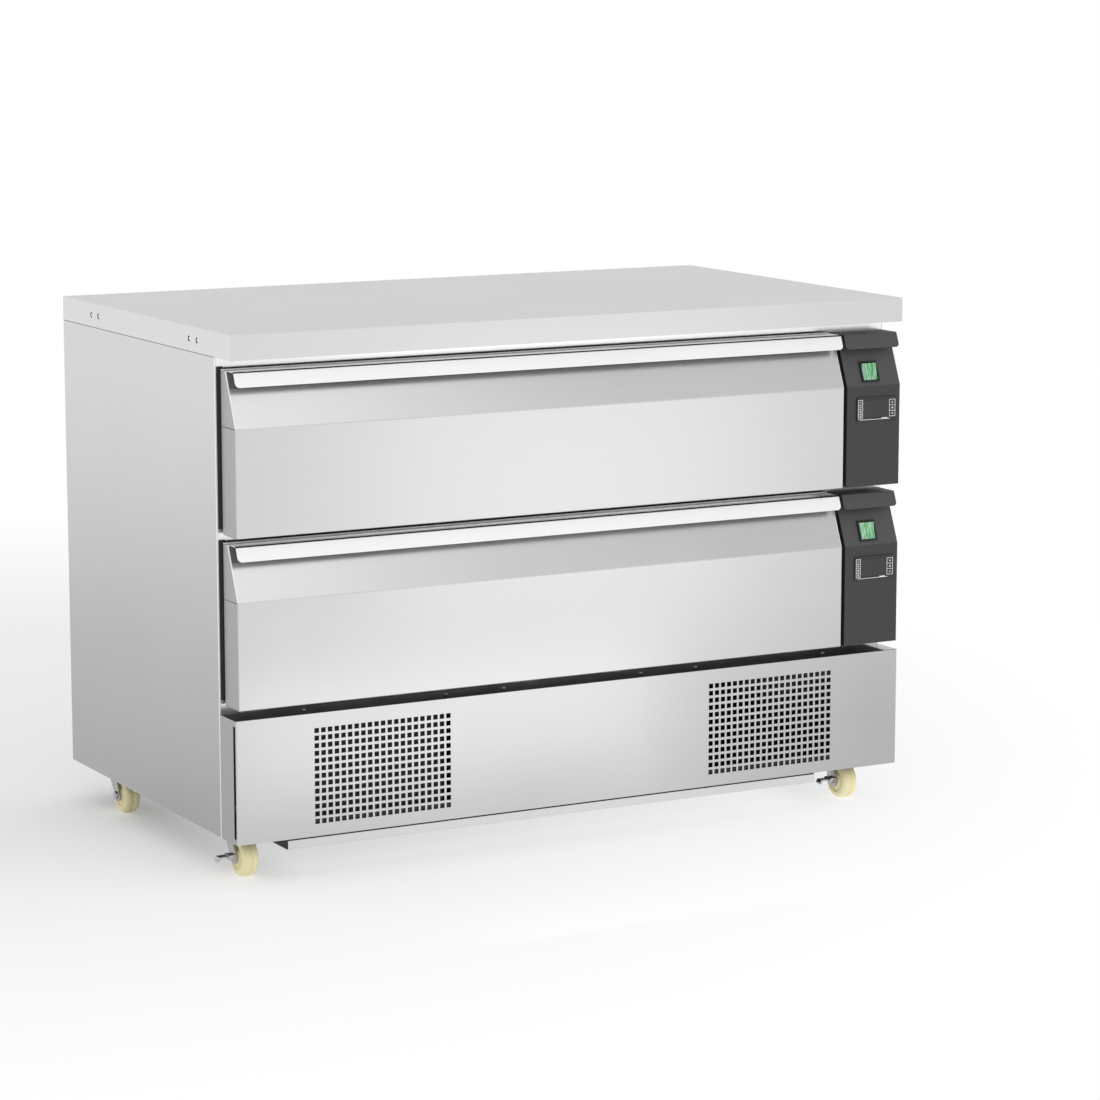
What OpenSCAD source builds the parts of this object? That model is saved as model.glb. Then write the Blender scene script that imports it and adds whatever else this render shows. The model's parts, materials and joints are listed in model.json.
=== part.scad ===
// Refrigerated drawer counter: two full-width drawers over a ventilated plinth, on castors.
// Millimetres. Origin on the floor under the middle of the worktop, +X right, +Y back, +Z up.

/* [Overall size] */
// Width over the worktop
counter_w = 1230; // [1150:1:1400]
// Depth over the worktop
counter_d = 700; // [660:1:800]
// Height from the floor to the top of the worktop
counter_h = 865; // [820:1:950]
// Height of the plinth panel
plinth_h = 198; // [190:1:230]

/* [Worktop] */
// Thickness of the worktop
worktop_t = 40; // [30:1:60]
// Thickness of the worktop's steel sheet
worktop_skin = 1.5; // [1:0.1:3]
// Width of the folded rim under the worktop
worktop_rim = 90; // [60:1:120]
// Diameter of the plugs in the worktop's ends
plug_d = 9; // [6:0.5:14]
// Distance between the two plugs of a pair
plug_pitch = 31; // [20:1:60]
// Distance from the worktop's front and back to the middle of a pair
plug_inset = 144.5; // [80:0.5:200]

/* [Carcass] */
// Thickness of the outer steel sheets
skin_t = 1.2; // [0.8:0.1:2]
// Thickness of the front frame's bars
frame_t = 1.5; // [1:0.1:3]
// Thickness of the inner liner
liner_t = 0.8; // [0.6:0.1:1.5]
// Thickness of the insulated left and right walls
wall_side = 52; // [40:1:65]
// Thickness of the insulated back wall, back panel and inset together
wall_back = 50; // [40:1:60]
// How far the back panel lies inside the worktop's back edge
back_inset = 3; // [2:0.5:8]
// Width of the vents in the back panel
vent_w = 220; // [120:1:300]
// Height of a vent in the back panel
vent_h = 6; // [3:0.5:9]
// Distance between the vents in the back panel
vent_pitch = 16; // [12:1:18]
// Number of vents in each group on the back panel
vent_rows = 8; // [4:1:9]
// Gap between neighbouring boards and sheets of one group
joint_gap = 0.2; // [0.1:0.05:0.5]

/* [Drawer fronts] */
// How far the drawer fronts stand out from the carcass
front_proud = 61; // [50:1:75]
// Thickness of the fronts' steel sheet
front_t = 1.2; // [0.8:0.1:2]
// Height of the upright part of a front, up to its knee
knee_h = 170; // [130:1:190]
// How far the top of a front leans back
slope_back = 36; // [28:1:44]
// Depth of the flange that carries the handle lip
flange_len = 22; // [16:1:28]
// Length of the handle lip, measured along it
lip_len = 25; // [15:1:35]
// Corner radius of the handle lip
lip_r = 6; // [2:0.5:10]
// Gap from the plinth to the lower drawer
cap_gap = 15; // [8:1:25]
// Gap between the two drawers
front_gap = 14; // [8:1:25]
// Gap from the upper drawer to the worktop
top_gap = 19; // [12:1:30]
// Gap from the left end of the worktop to the drawer fronts
end_gap = 6; // [3:0.5:12]

/* [Door seals] */
// Thickness of the seal
seal_t = 9; // [6:0.5:12]
// Width of the seal's strip
seal_w = 14; // [10:0.5:16]
// Gap that stays between the closed seal and the frame
seal_clear = 0.3; // [0.2:0.05:0.6]
// How far the seal lies inside the front's ends
seal_inset = 3; // [1:0.5:6]
// How far the seal lies above the front's lower edge
seal_low = 5; // [3:0.5:8]
// How far the seal rises over the front's upper edge
seal_rise = 3; // [1:0.5:5]
// Width of the frame that shows inside the seal
seal_land = 4; // [2:0.5:8]

/* [Drawer boxes] */
// Height of a drawer box
box_h = 150; // [120:1:160]
// Height of a drawer box above its opening's lower edge
box_lift = 22; // [15:1:30]
// Thickness of a drawer box's sheet
box_t = 1.5; // [1:0.1:2.5]
// Width of the ledge that carries the pans
ledge_w = 8; // [6:0.5:15]
// Number of pans side by side in a drawer
pan_count = 3; // [2:1:4]
// Width of the bars between the pans
bar_w = 18; // [12:1:25]
// Thickness of the bars between the pans
bar_t = 6; // [4:0.5:8]
// Gap between a drawer box and the evaporator behind it
box_clear = 6; // [4:0.5:15]

/* [Drawer slides] */
// Width that a three-part slide takes up
slide_w = 15; // [13:0.5:20]
// Height of a slide
slide_h = 45; // [35:1:60]
// Running gap between the parts of a slide
slide_clear = 0.3; // [0.2:0.05:0.5]
// Thickness of a slide's web
slide_web = 1.5; // [1:0.1:2.5]
// Height of a slide's rolled edges
slide_edge = 7; // [4:0.5:10]
// Height of a slide's lower edge above the drawer box's lower edge
slide_lift = 40; // [20:1:80]
// Distance from a slide's end to the drawer box's back
slide_short = 37; // [20:1:80]

/* [Control panels] */
// Width of the control panels
panel_w = 105.5; // [95:0.5:130]
// Gap from the control panels to the right end of the worktop
panel_end_gap = 1; // [0.5:0.5:4]
// Gap between the drawers and the control panels
panel_gap = 7.5; // [5:0.5:12]
// Thickness of the control panels' sheet
panel_t = 1.5; // [1:0.1:2.5]
// Width of a thermostat's bezel
bezel_w = 78; // [78:1:90]
// Height of a thermostat's bezel
bezel_h = 40; // [36:1:46]
// Thickness of a thermostat's bezel
bezel_t = 2; // [1.5:0.1:3]
// Width of a thermostat's body behind the panel
tstat_body_w = 75; // [73:1:76]
// Height of a thermostat's body behind the panel
tstat_body_h = 31; // [28:1:34]
// Depth of a thermostat's body behind the panel
tstat_body_d = 40; // [25:1:46]
// Distance from the control panel's left edge to the thermostat's middle
tstat_x_off = 57.5; // [48:0.5:60]
// Height of the thermostat's middle above the panel's lower edge
tstat_z_off = 131; // [90:1:145]
// Width of the thermostat's display
display_w = 49; // [40:1:52]
// Height of the thermostat's display
display_h = 30; // [20:1:34]
// Depth of the display's recess
display_d = 0.6; // [0.3:0.1:1]
// Width of a thermostat key
key_w = 10; // [7:0.5:11]
// Height of a thermostat key
key_h = 8; // [6:0.5:9]
// Thickness of a thermostat key
key_t = 2; // [1.5:0.1:3]
// Distance between the thermostat's keys
key_pitch = 9.4; // [9.2:0.1:11]
// How far a key stands out from the bezel
key_proud = 0.4; // [0.2:0.1:0.8]
// Room behind a key at rest
key_room = 0.8; // [0.7:0.1:1.2]
// Gap around a key
key_clear = 0.2; // [0.1:0.05:0.4]
// Distance from the thermostat body's right edge to the keys
key_edge = 0.7; // [0.5:0.1:1.5]

/* [Rocker switches] */
// Width of the switch's bezel
switch_w = 34; // [33:0.5:38]
// Length of the switch's bezel
switch_len = 36; // [35:0.5:40]
// Thickness of the switch's bezel
switch_bezel_t = 3; // [2:0.1:4]
// Depth of the switch's body behind the panel
switch_depth = 22; // [18:1:28]
// Width of the rocker
rocker_w = 28; // [22:0.5:29]
// Length of the rocker
rocker_len = 30; // [24:0.5:31]
// Gap around the rocker
rocker_clear = 0.6; // [0.4:0.1:1]
// Depth of the rocker's pivot below the panel's face
rocker_pivot = 3; // [2:0.5:5]
// Radius of the rocker's pivot pins
rocker_pin_r = 2; // [1.5:0.1:2.5]
// Tilt of the rocker at rest
rocker_tilt = 8; // [4:1:10]
// Distance from the control panel's left edge to the switch's middle
switch_x_off = 48.5; // [35:0.5:65]
// Distance from the knee to the switch's middle, up the slope
switch_up = 25; // [22:0.5:40]

/* [Plinth] */
// Thickness of the plinth's sheet
plinth_t = 1.5; // [1:0.1:2.5]
// Thickness of the plinth's cap plate
cap_t = 1.5; // [1:0.1:3]
// Number of columns of holes in a grille
grille_cols = 21; // [8:1:26]
// Number of rows of holes in a grille
grille_rows = 13; // [6:1:14]
// Distance between a grille's columns
grille_pitch_x = 11.6; // [10:0.1:14]
// Distance between a grille's rows
grille_pitch_z = 12.2; // [10:0.1:13]
// Width and height of a grille's hole
grille_hole = 8; // [5:0.1:9]
// Distance from the counter's middle to a grille's middle
grille_x = 361; // [300:1:400]
// Height of a grille's middle above the plinth's lower edge
grille_z = 97; // [90:1:105]
// Width of the slot in the plinth's returns
slot_w = 8; // [4:0.5:12]
// Distance from the plinth's face to that slot
slot_inset = 2.5; // [2:0.1:6]
// Distance from that slot's ends to the plinth's lower and upper edges
slot_margin = 9; // [5:1:25]
// Distances of the cap's screws from the counter's middle
screw_x = [128, 233, 484];
// Radius of a cap screw's head
screw_head_r = 3.2; // [2:0.1:5]
// Height of a cap screw's head
screw_head_h = 1.8; // [1:0.1:3]
// Radius of a cap screw's shank
screw_r = 1.8; // [1:0.1:2.5]
// Length of a cap screw's shank
screw_len = 8; // [5:0.5:15]

/* [Base] */
// Thickness of the base plate
base_t = 3; // [2:0.5:5]
// Height of the base plate above the plinth's lower edge
base_lift = 23; // [21:0.5:28]
// Distance from the left end to the undertray
tray_left = 101; // [100:1:140]
// Distance from the right end to the undertray
tray_right = 145; // [132:1:180]
// Distance from the worktop's front to the undertray
tray_front = 32; // [15:1:60]
// Distance from the worktop's back to the undertray
tray_back = 60; // [20:1:150]
// Height of the undertray's floor above the ground
tray_z = 40; // [30:1:50]
// Thickness of the undertray's sheet
tray_t = 1.5; // [1:0.1:2.5]

/* [Castors] */
// Diameter of the wheels
wheel_d = 63; // [60:1:72]
// Width of the wheels
wheel_w = 28; // [22:1:30]
// Gap from the top of a wheel to the plinth's lower edge
wheel_clear = 2; // [1:0.5:4]
// Horizontal distance from the swivel axis to the wheel's axle
castor_trail = 28; // [24:1:29]
// Angle that the castors are turned to the left at rest
castor_turn = 0; // [0:1:40]
// Distance from the left end to the left castors' swivel axes
castor_left = 37; // [36:0.5:39]
// Distance from the right end to the right castors' swivel axes
castor_right = 70; // [60:1:80]
// Distance from the worktop's front to the front castors' swivel axes
castor_front = 88; // [75:1:120]
// Distance from the worktop's back to the rear castors' swivel axes
castor_back = 125; // [75:1:150]
// Radius of the fork's crown
crown_r = 25; // [22:0.5:28]
// Height of the fork's crown
crown_t = 11; // [8:0.5:13]
// Thickness of the fork's legs
leg_t = 3; // [2:0.5:4]
// Radius of a leg around the axle
leg_r = 11; // [8:0.5:14]
// Gap between the wheel and a leg
leg_gap = 1.2; // [0.6:0.1:2]
// Radius of the axle
axle_r = 4; // [3:0.5:6]
// Radius of the axle's nuts over their corners
nut_r = 6.5; // [6:0.1:8]
// Thickness of the axle's nuts
nut_t = 4; // [3:0.5:6]
// Radius of the castor's stem
stem_r = 6; // [5:0.5:8]
// Thickness of the stem's upper race and lower head
stem_race_t = 4; // [3:0.5:5]
// Radial clearance of every shaft that turns
run_clear = 0.05; // [0.02:0.01:0.1]
// Gap between flat faces that turn on each other
face_clear = 0.3; // [0.2:0.05:0.5]
// How far the brake pedal reaches from the wheel's middle
pedal_reach = 48; // [40:1:50]
// Width of the brake pedal
pedal_w = 14; // [10:1:16]
// Thickness of the brake pedal
pedal_t = 2.5; // [2:0.5:4]
// Radius of the brake pedal's barrel
pedal_barrel_r = 4; // [3.5:0.5:5]
// Radius of the brake pedal's pin
pedal_pin_r = 2; // [1.5:0.1:2.5]
// Height of the brake pedal's pin above the axle
pedal_rise = 2; // [0:0.5:4]
// Thickness of the ears that hold the brake pedal's pin
ear_t = 2.5; // [2:0.5:4]

/* [Refrigeration] */
// Radius of a compressor
comp_r = 60; // [45:1:65]
// Height of a compressor's can without its dome
comp_h = 105; // [80:1:112]
// Height of a compressor's dome
comp_dome = 28; // [15:1:30]
// Height of a compressor's rubber feet
comp_foot = 8; // [5:0.5:12]
// Thickness of a compressor's foot plate
comp_plate = 3; // [2:0.5:4]
// Distances of the compressors from the counter's middle
comp_x = [-60, 180];
// Distance of the compressors behind the counter's middle
comp_y = 20; // [0:1:60]
// Width of the condenser
cond_w = 230; // [180:1:240]
// Height of the condenser
cond_h = 150; // [120:1:160]
// Depth of the condenser
cond_d = 36; // [25:1:38]
// Gap between the plinth's sheet and the condenser
cond_gap = 15; // [8:1:18]
// Radius of the opening in the condenser fan's frame
cond_fan_r = 62; // [50:1:66]
// Depth of the condenser fan's frame
cond_fan_d = 40; // [36:1:50]
// Depth of an evaporator
evap_d = 42; // [39:1:45]
// Width of an evaporator
evap_w = 420; // [300:1:460]
// Height of an evaporator
evap_h = 120; // [90:1:140]
// Width and height of an evaporator fan's frame
evap_fan_size = 120; // [110:1:140]
// Radius of the opening in an evaporator fan's frame
evap_fan_r = 52; // [45:1:53]
// Gap between an evaporator and its fan
evap_fan_gap = 10; // [5:1:30]
// Radius of a fan's motor and hub
fan_hub_r = 16; // [12:0.5:20]
// Radius of a fan's shaft
fan_shaft_r = 3; // [2:0.5:4]
// Number of blades on a fan
fan_blades = 5; // [3:1:7]
// Radius of the refrigerant pipes
pipe_r = 5; // [3:0.5:6]
// How far the pipes' elbows stand out over the pipes
elbow_extra = 1.5; // [0.5:0.5:3]
// Gap between a pipe and the holes that it passes
pipe_clear = 0.5; // [0.3:0.1:1]
// Radius of the mains cable's gland
gland_r = 9; // [7:0.5:12]
// Radius of the gland's cable hole
gland_bore_r = 5; // [3:0.5:6]
// Distance from the counter's right end to the gland
gland_inset = 60; // [40:1:120]
// Height of the gland above the base plate
gland_rise = 60; // [30:1:120]

/* [Hidden] */
$fn = 48;
LOWER = 0;
UPPER = 1;
STEEL = "gainsboro";
cut = 1;

// Planes of the whole counter
left = -counter_w / 2;
right = counter_w / 2;
front = -counter_d / 2;
back = counter_d / 2;
skirt_z = wheel_d + wheel_clear;
plinth_top = skirt_z + plinth_h;
under_top = counter_h - worktop_t;
carcass_front = front + front_proud;
back_panel_y = back - back_inset;

// Control panels, drawers and the duct behind the control panels
panel_x1 = right - panel_end_gap;
panel_x0 = panel_x1 - panel_w;
duct_x = panel_x0;
drawer_x0 = left + end_gap;
drawer_x1 = panel_x0 - panel_gap;
front_h = (under_top - top_gap - plinth_top - cap_gap - front_gap) / 2;
drawer_pitch = front_h + front_gap;
function drawer_z(d) = plinth_top + cap_gap + d * drawer_pitch;
theta = atan(slope_back / (front_h - knee_h));
shell_back = carcass_front - seal_t;
panel_front = front + bezel_t + key_proud;

// Cold cells
open_low = seal_low + seal_w + seal_land;
open_high = seal_w + seal_land - seal_rise;
function open_z0(d) = drawer_z(d) + open_low;
function open_z1(d) = drawer_z(d) + front_h - open_high;
cell_x0 = left + wall_side;
cell_x1 = duct_x - wall_side;
cell_y1 = back - wall_back;
cell_mid = (cell_x0 + cell_x1) / 2;
foam_y0 = carcass_front + frame_t;
foam_y1 = back_panel_y - skin_t;
casing_top = plinth_top + skin_t;

// Drawer boxes and slides
evap_y0 = cell_y1 - evap_d;
box_y1 = evap_y0 - box_clear;
box_x0 = cell_x0 + slide_w;
box_x1 = cell_x1 - slide_w;
function box_z0(d) = open_z0(d) + box_lift;
slide_y0 = foam_y0;
slide_y1 = box_y1 - slide_short;
slide_part = (slide_w - 2 * slide_clear) / 3;

// Switch and thermostat places
tstat_x = panel_x0 + tstat_x_off;
function tstat_z(d) = drawer_z(d) + tstat_z_off;
switch_x = panel_x0 + switch_x_off;
bezel_front = panel_front - bezel_t;
key_x = tstat_x + tstat_body_w / 2 - key_edge - key_w / 2;
function key_z(d, i) = tstat_z(d) + (1 - i) * key_pitch;

// Base and castors
base_z = skirt_z + base_lift;
base_top = base_z + base_t;
axle_z = wheel_d / 2;
crown_z1 = base_z - stem_race_t - face_clear;
crown_z0 = crown_z1 - crown_t;
leg_x0 = wheel_w / 2 + leg_gap;
leg_x1 = leg_x0 + leg_t;
pedal_x = leg_x1 + nut_t + face_clear + pedal_barrel_r;
pedal_z = axle_z + pedal_rise;
castor_x0 = left + castor_left;
castor_x1 = right - castor_right;
castor_y0 = front + castor_front;
castor_y1 = back - castor_back;
CASTORS = [[castor_x0, castor_y0], [castor_x1, castor_y0], [castor_x0, castor_y1], [castor_x1, castor_y1]];

// Refrigeration places
cond_x = -grille_x;
cond_y0 = front + plinth_t + cond_gap;
cond_y1 = cond_y0 + cond_d;
cond_z0 = base_top;
cond_mid_z = cond_z0 + cond_h / 2;
cond_x1 = cond_x + cond_w / 2;
evap_x0 = cell_mid - evap_w / 2;
evap_x1 = cell_mid + evap_w / 2;
function cell_mid_z(d) = (open_z0(d) + open_z1(d)) / 2;
evap_fan_x = evap_x0 - evap_fan_gap - evap_fan_size / 2;
fan_strut = 3;
fan_tip = 3;
fan_motor = 16;
comp_z = base_top + comp_foot + comp_plate;
port_len = 8;
port_z = comp_z + comp_h / 2;
pipe_step = 4 * pipe_r;
function pipe_y(d) = evap_y0 + evap_d / 2 + (d == UPPER ? 1 : -1) * 1.5 * pipe_r;
function riser_x(d) = duct_x + (d == UPPER ? 1 : 2.5) * pipe_step;
gland_x = right - gland_inset;
gland_z = base_top + gland_rise;

// Box between two opposite corners
module box(lo, hi) {
  translate(lo)
    cube(hi - lo);
}

// Extrudes a Y-Z outline along X
module along_x(x0, x1) {
  translate([x0, 0, 0])
    rotate([90, 0, 90])
      linear_extrude(height = x1 - x0)
        children();
}

// Extrudes an X-Z outline along Y
module along_y(y0, y1) {
  translate([0, y1, 0])
    rotate([90, 0, 0])
      linear_extrude(height = y1 - y0)
        children();
}

// Cylinder along X from one X to another
module rod_x(x0, x1, r) {
  translate([x0, 0, 0])
    rotate([0, 90, 0])
      cylinder(r = r, h = x1 - x0);
}

// Cylinder along Y from one Y to another
module rod_y(y0, y1, r) {
  translate([0, y0, 0])
    rotate([-90, 0, 0])
      cylinder(r = r, h = y1 - y0);
}

// How far a front leans back at a height above its lower edge
function slope_run(z) = max(0, z - knee_h) * tan(theta);

// Y-Z outline of a front, drawn in by an inset, from its face yf to its open back yb
function front_outline(inset, yf, yb) = [
  [yb, inset],
  [yf + inset, inset],
  [yf + inset, knee_h + inset * (cos(theta) - 1) / sin(theta)],
  [yf + slope_run(front_h - inset) + inset / cos(theta), front_h - inset],
  [yb, front_h - inset]
];

// Outline of the handle lip, hanging below its bend
module lip_outline(w, rise) {
  translate([0, lip_r - lip_len])
    square([w, lip_len - lip_r + rise]);
  translate([lip_r, -lip_len])
    square([w - 2 * lip_r, lip_len]);
  for (x = [lip_r, w - lip_r])
    translate([x, lip_r - lip_len])
      circle(r = lip_r);
}

// Flange and lip over the slope of a front
module handle_lip(x0, x1, yf, t) {
  bend_y = yf + slope_back - flange_len;
  rise = t * (1 - sin(theta)) / cos(theta);
  box([x0, bend_y, front_h - t], [x1, yf + slope_back + t, front_h]);
  translate([x0, bend_y, front_h - t])
    rotate([90 - theta, 0, 0])
      linear_extrude(height = t)
        lip_outline(x1 - x0, rise);
}

// Folded front with closed ends, open at the back, and with its lip
module front_shell(x0, x1, yf, yb, t) {
  difference() {
    along_x(x0, x1)
      polygon(front_outline(0, yf, yb));
    along_x(x0 + t, x1 - t)
      polygon(front_outline(t, yf, yb + cut));
  }
  handle_lip(x0, x1, yf, t);
}

// Moves to a place on a control panel's slope: x along the panel, y up the slope, z outwards
module on_slope(d) {
  translate([switch_x, panel_front + switch_up * sin(theta), drawer_z(d) + knee_h + switch_up * cos(theta)])
    rotate([90 - theta, 0, 0])
      children();
}

// Places a slide part at both sides of a cell, with x running in from the side wall
module both_sides() {
  translate([cell_x0, 0, 0])
    children();
  translate([cell_x1, 0, 0])
    mirror([1, 0, 0])
      children();
}

// One part of a slide: a channel that starts at a depth from the side wall
module slide_channel(d, depth, flip) {
  z0 = box_z0(d) + slide_lift;
  groove_x = depth + (flip ? -cut : slide_web);
  difference() {
    box([depth, slide_y0, z0], [depth + slide_part, slide_y1, z0 + slide_h]);
    translate([groove_x, slide_y0 - cut, z0 + slide_edge])
      cube([slide_part - slide_web + cut, slide_y1 - slide_y0 + 2 * cut, slide_h - 2 * slide_edge]);
  }
}

// Tube along a list of points, with a round elbow at each turn
module pipe_run(points) {
  for (i = [0 : len(points) - 2]) {
    step = points[i + 1] - points[i];
    translate(points[i])
      rotate([0, acos(step.z / norm(step)), atan2(step.y, step.x)])
        cylinder(r = pipe_r, h = norm(step));
  }
  for (i = [1 : len(points) - 2])
    translate(points[i])
      sphere(r = pipe_r + elbow_extra);
}

// Holes for the pipe of one cell, through the wall between the cell and the duct
module pipe_hole(d) {
  translate([0, pipe_y(d), cell_mid_z(d)])
    rod_x(cell_x1 - cut, duct_x + cut, pipe_r + pipe_clear);
}

// Square frame of a fan with its struts, motor and shaft, its axis along Z
module fan_frame(size_x, size_y, opening_r, depth) {
  difference() {
    translate([-size_x / 2, -size_y / 2, 0])
      cube([size_x, size_y, depth]);
    translate([0, 0, -cut])
      cylinder(r = opening_r, h = depth + 2 * cut);
  }
  for (a = [0, 60, 120])
    rotate(a)
      translate([-opening_r - cut, -fan_strut, 0])
        cube([2 * opening_r + 2 * cut, 2 * fan_strut, fan_strut]);
  cylinder(r = fan_hub_r, h = fan_motor);
  cylinder(r = fan_shaft_r, h = depth - fan_strut);
}

// Hub and tilted blades that turn on a fan's shaft
module fan_wheel(opening_r, depth) {
  hub_z = fan_motor + face_clear;
  hub_h = depth - hub_z - fan_strut;
  blade_r = opening_r - fan_tip;
  difference() {
    union() {
      translate([0, 0, hub_z])
        cylinder(r = fan_hub_r, h = hub_h);
      for (i = [0 : fan_blades - 1])
        rotate(i * 360 / fan_blades)
          translate([fan_hub_r - cut, 0, hub_z + hub_h / 2])
            rotate([35, 0, 0])
              translate([0, -hub_h / 2, -cut])
                cube([blade_r - fan_hub_r - cut, hub_h, 2 * cut]);
    }
    translate([0, 0, hub_z - cut])
      cylinder(r = fan_shaft_r + run_clear, h = hub_h + 2 * cut);
  }
}

// Places a fan of a cell, blowing forwards
module at_evaporator_fan(d) {
  translate([evap_fan_x, cell_y1, cell_mid_z(d)])
    rotate([90, 0, 0])
      children();
}

// Places the condenser's fan behind the condenser, blowing backwards
module at_condenser_fan() {
  translate([cond_x, cond_y1, cond_mid_z])
    rotate([-90, 0, 0])
      children();
}

module worktop() {
  color(STEEL)
    difference() {
      box([left, front, under_top], [right, back, counter_h]);
      box(
        [left + worktop_skin, front + worktop_skin, under_top + worktop_skin],
        [right - worktop_skin, back - worktop_skin, counter_h - worktop_skin]
      );
      box(
        [left + worktop_rim, front + worktop_rim, under_top - cut],
        [right - worktop_rim, back - worktop_rim, under_top + worktop_skin + cut]
      );
      at_plugs()
        rod_x(-worktop_skin - cut, cut, plug_d / 2 + joint_gap);
    }
}

// Moves to each plug in the worktop's ends, with x pointing out of the end
module at_plugs() {
  for (side = [0, 1], y = [front + plug_inset, back - plug_inset], step = [-0.5, 0.5])
    mirror([side, 0, 0])
      translate([right, y + step * plug_pitch, under_top + worktop_t / 2])
        children();
}

module worktop_plugs() {
  color("silver")
    at_plugs()
      rod_x(-worktop_skin, 0, plug_d / 2);
}

module left_side_panel() {
  color(STEEL)
    box([left, carcass_front, skirt_z], [left + skin_t, back, under_top]);
}

module right_side_panel() {
  color(STEEL)
    box([right - skin_t, carcass_front, skirt_z], [right, back, under_top]);
}

module back_panel() {
  color("lightgray")
    along_y(foam_y1, back_panel_y)
      difference() {
        translate([left + skin_t, skirt_z])
          square([counter_w - 2 * skin_t, under_top - skirt_z]);
        for (x = [-grille_x, grille_x], i = [0 : vent_rows - 1])
          translate([x - vent_w / 2, base_top + vent_pitch * (i + 0.5)])
            square([vent_w, vent_h]);
        translate([gland_x, gland_z])
          circle(r = gland_r + joint_gap);
      }
}

module front_frame() {
  y0 = carcass_front;
  y1 = carcass_front + frame_t;
  x0 = left + skin_t;
  color(STEEL) {
    box([x0, y0, plinth_top], [duct_x, y1, open_z0(LOWER)]);
    box([x0, y0, open_z1(LOWER)], [duct_x, y1, open_z0(UPPER)]);
    box([x0, y0, open_z1(UPPER)], [duct_x, y1, under_top]);
    for (d = [LOWER, UPPER]) {
      box([x0, y0, open_z0(d) + joint_gap], [cell_x0, y1, open_z1(d) - joint_gap]);
      box([cell_x1, y0, open_z0(d) + joint_gap], [duct_x, y1, open_z1(d) - joint_gap]);
    }
    box([duct_x + joint_gap, y0, plinth_top], [right - skin_t, y1, under_top]);
  }
}

module cell_casing() {
  color("lightgray")
    difference() {
      union() {
        box([left + skin_t, foam_y0, plinth_top], [duct_x, foam_y1, casing_top]);
        box([duct_x - skin_t, foam_y0, casing_top + joint_gap], [duct_x, foam_y1, under_top]);
      }
      pipe_hole(LOWER);
      pipe_hole(UPPER);
    }
}

module cell_insulation() {
  x0 = cell_x0 - liner_t;
  x1 = cell_x1 + liner_t;
  z1 = under_top - joint_gap;
  color("khaki") {
    box(
      [left + worktop_skin, front + worktop_skin, under_top + worktop_skin],
      [right - worktop_skin, back - worktop_skin, counter_h - worktop_skin]
    );
    box([left + skin_t, foam_y0, casing_top], [x0, foam_y1, z1]);
    difference() {
      box([x1, foam_y0, casing_top], [duct_x - skin_t, foam_y1, z1]);
      pipe_hole(LOWER);
      pipe_hole(UPPER);
    }
    box([x0 + joint_gap, foam_y0, casing_top], [x1 - joint_gap, foam_y1, open_z0(LOWER) - liner_t]);
    box(
      [x0 + joint_gap, foam_y0, open_z1(LOWER) + liner_t],
      [x1 - joint_gap, foam_y1, open_z0(UPPER) - liner_t]
    );
    box([x0 + joint_gap, foam_y0, open_z1(UPPER) + liner_t], [x1 - joint_gap, foam_y1, z1]);
    for (d = [LOWER, UPPER])
      box(
        [x0 + joint_gap, cell_y1 + liner_t, open_z0(d) - liner_t + joint_gap],
        [x1 - joint_gap, foam_y1, open_z1(d) + liner_t - joint_gap]
      );
  }
}

// Five sheets that line one cell
module liner(d) {
  z0 = open_z0(d);
  z1 = open_z1(d);
  y1 = cell_y1 + liner_t;
  x0 = cell_x0 + joint_gap;
  x1 = cell_x1 - joint_gap;
  color("silver") {
    box([cell_x0 - liner_t, foam_y0, z0 - liner_t], [cell_x0, y1, z1 + liner_t]);
    difference() {
      box([cell_x1, foam_y0, z0 - liner_t], [cell_x1 + liner_t, y1, z1 + liner_t]);
      pipe_hole(d);
    }
    box([x0, foam_y0, z0 - liner_t], [x1, cell_y1 - joint_gap, z0]);
    box([x0, foam_y0, z1], [x1, cell_y1 - joint_gap, z1 + liner_t]);
    box([x0, cell_y1, z0 - liner_t], [x1, y1, z1 + liner_t]);
  }
}

module upper_liner() {
  liner(UPPER);
}

module lower_liner() {
  liner(LOWER);
}

module fixed_rails() {
  color("darkgray")
    for (d = [LOWER, UPPER])
      both_sides()
        slide_channel(d, 0, false);
}

module base_plate() {
  side = max(plinth_t, skin_t);
  color("silver")
    difference() {
      box([left + side, front + plinth_t, base_z], [right - side, foam_y1, base_top]);
      at_castors()
        stem_hole();
    }
}

// Hole of a castor's stem in the base plate
module stem_hole() {
  translate([0, 0, base_z - cut])
    cylinder(r = stem_r + joint_gap, h = base_t + 2 * cut);
}

// Moves to each castor's swivel axis on the floor
module at_castors() {
  for (c = CASTORS)
    translate([c.x, c.y, 0])
      children();
}

module undertray() {
  x0 = left + tray_left;
  x1 = right - tray_right;
  y0 = front + tray_front;
  y1 = back - tray_back;
  color("gray")
    difference() {
      box([x0, y0, tray_z], [x1, y1, base_z]);
      box([x0 + tray_t, y0 + tray_t, tray_z + tray_t], [x1 - tray_t, y1 - tray_t, base_z + cut]);
    }
}

// Outline of the plinth's face with its two grilles
module plinth_face() {
  difference() {
    translate([left, skirt_z])
      square([counter_w, plinth_h]);
    for (x = [-grille_x, grille_x], i = [0 : grille_cols - 1], j = [0 : grille_rows - 1])
      translate([
        x + (i - (grille_cols - 1) / 2) * grille_pitch_x,
        skirt_z + grille_z + (j - (grille_rows - 1) / 2) * grille_pitch_z
      ])
        square(grille_hole, center = true);
  }
}

// Outline of a plinth return with its slot
module plinth_return() {
  difference() {
    translate([front + plinth_t + joint_gap, skirt_z])
      square([front_proud - plinth_t - joint_gap, plinth_h]);
    translate([front + slot_inset, skirt_z + slot_margin])
      square([slot_w, plinth_h - 2 * slot_margin]);
  }
}

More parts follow.
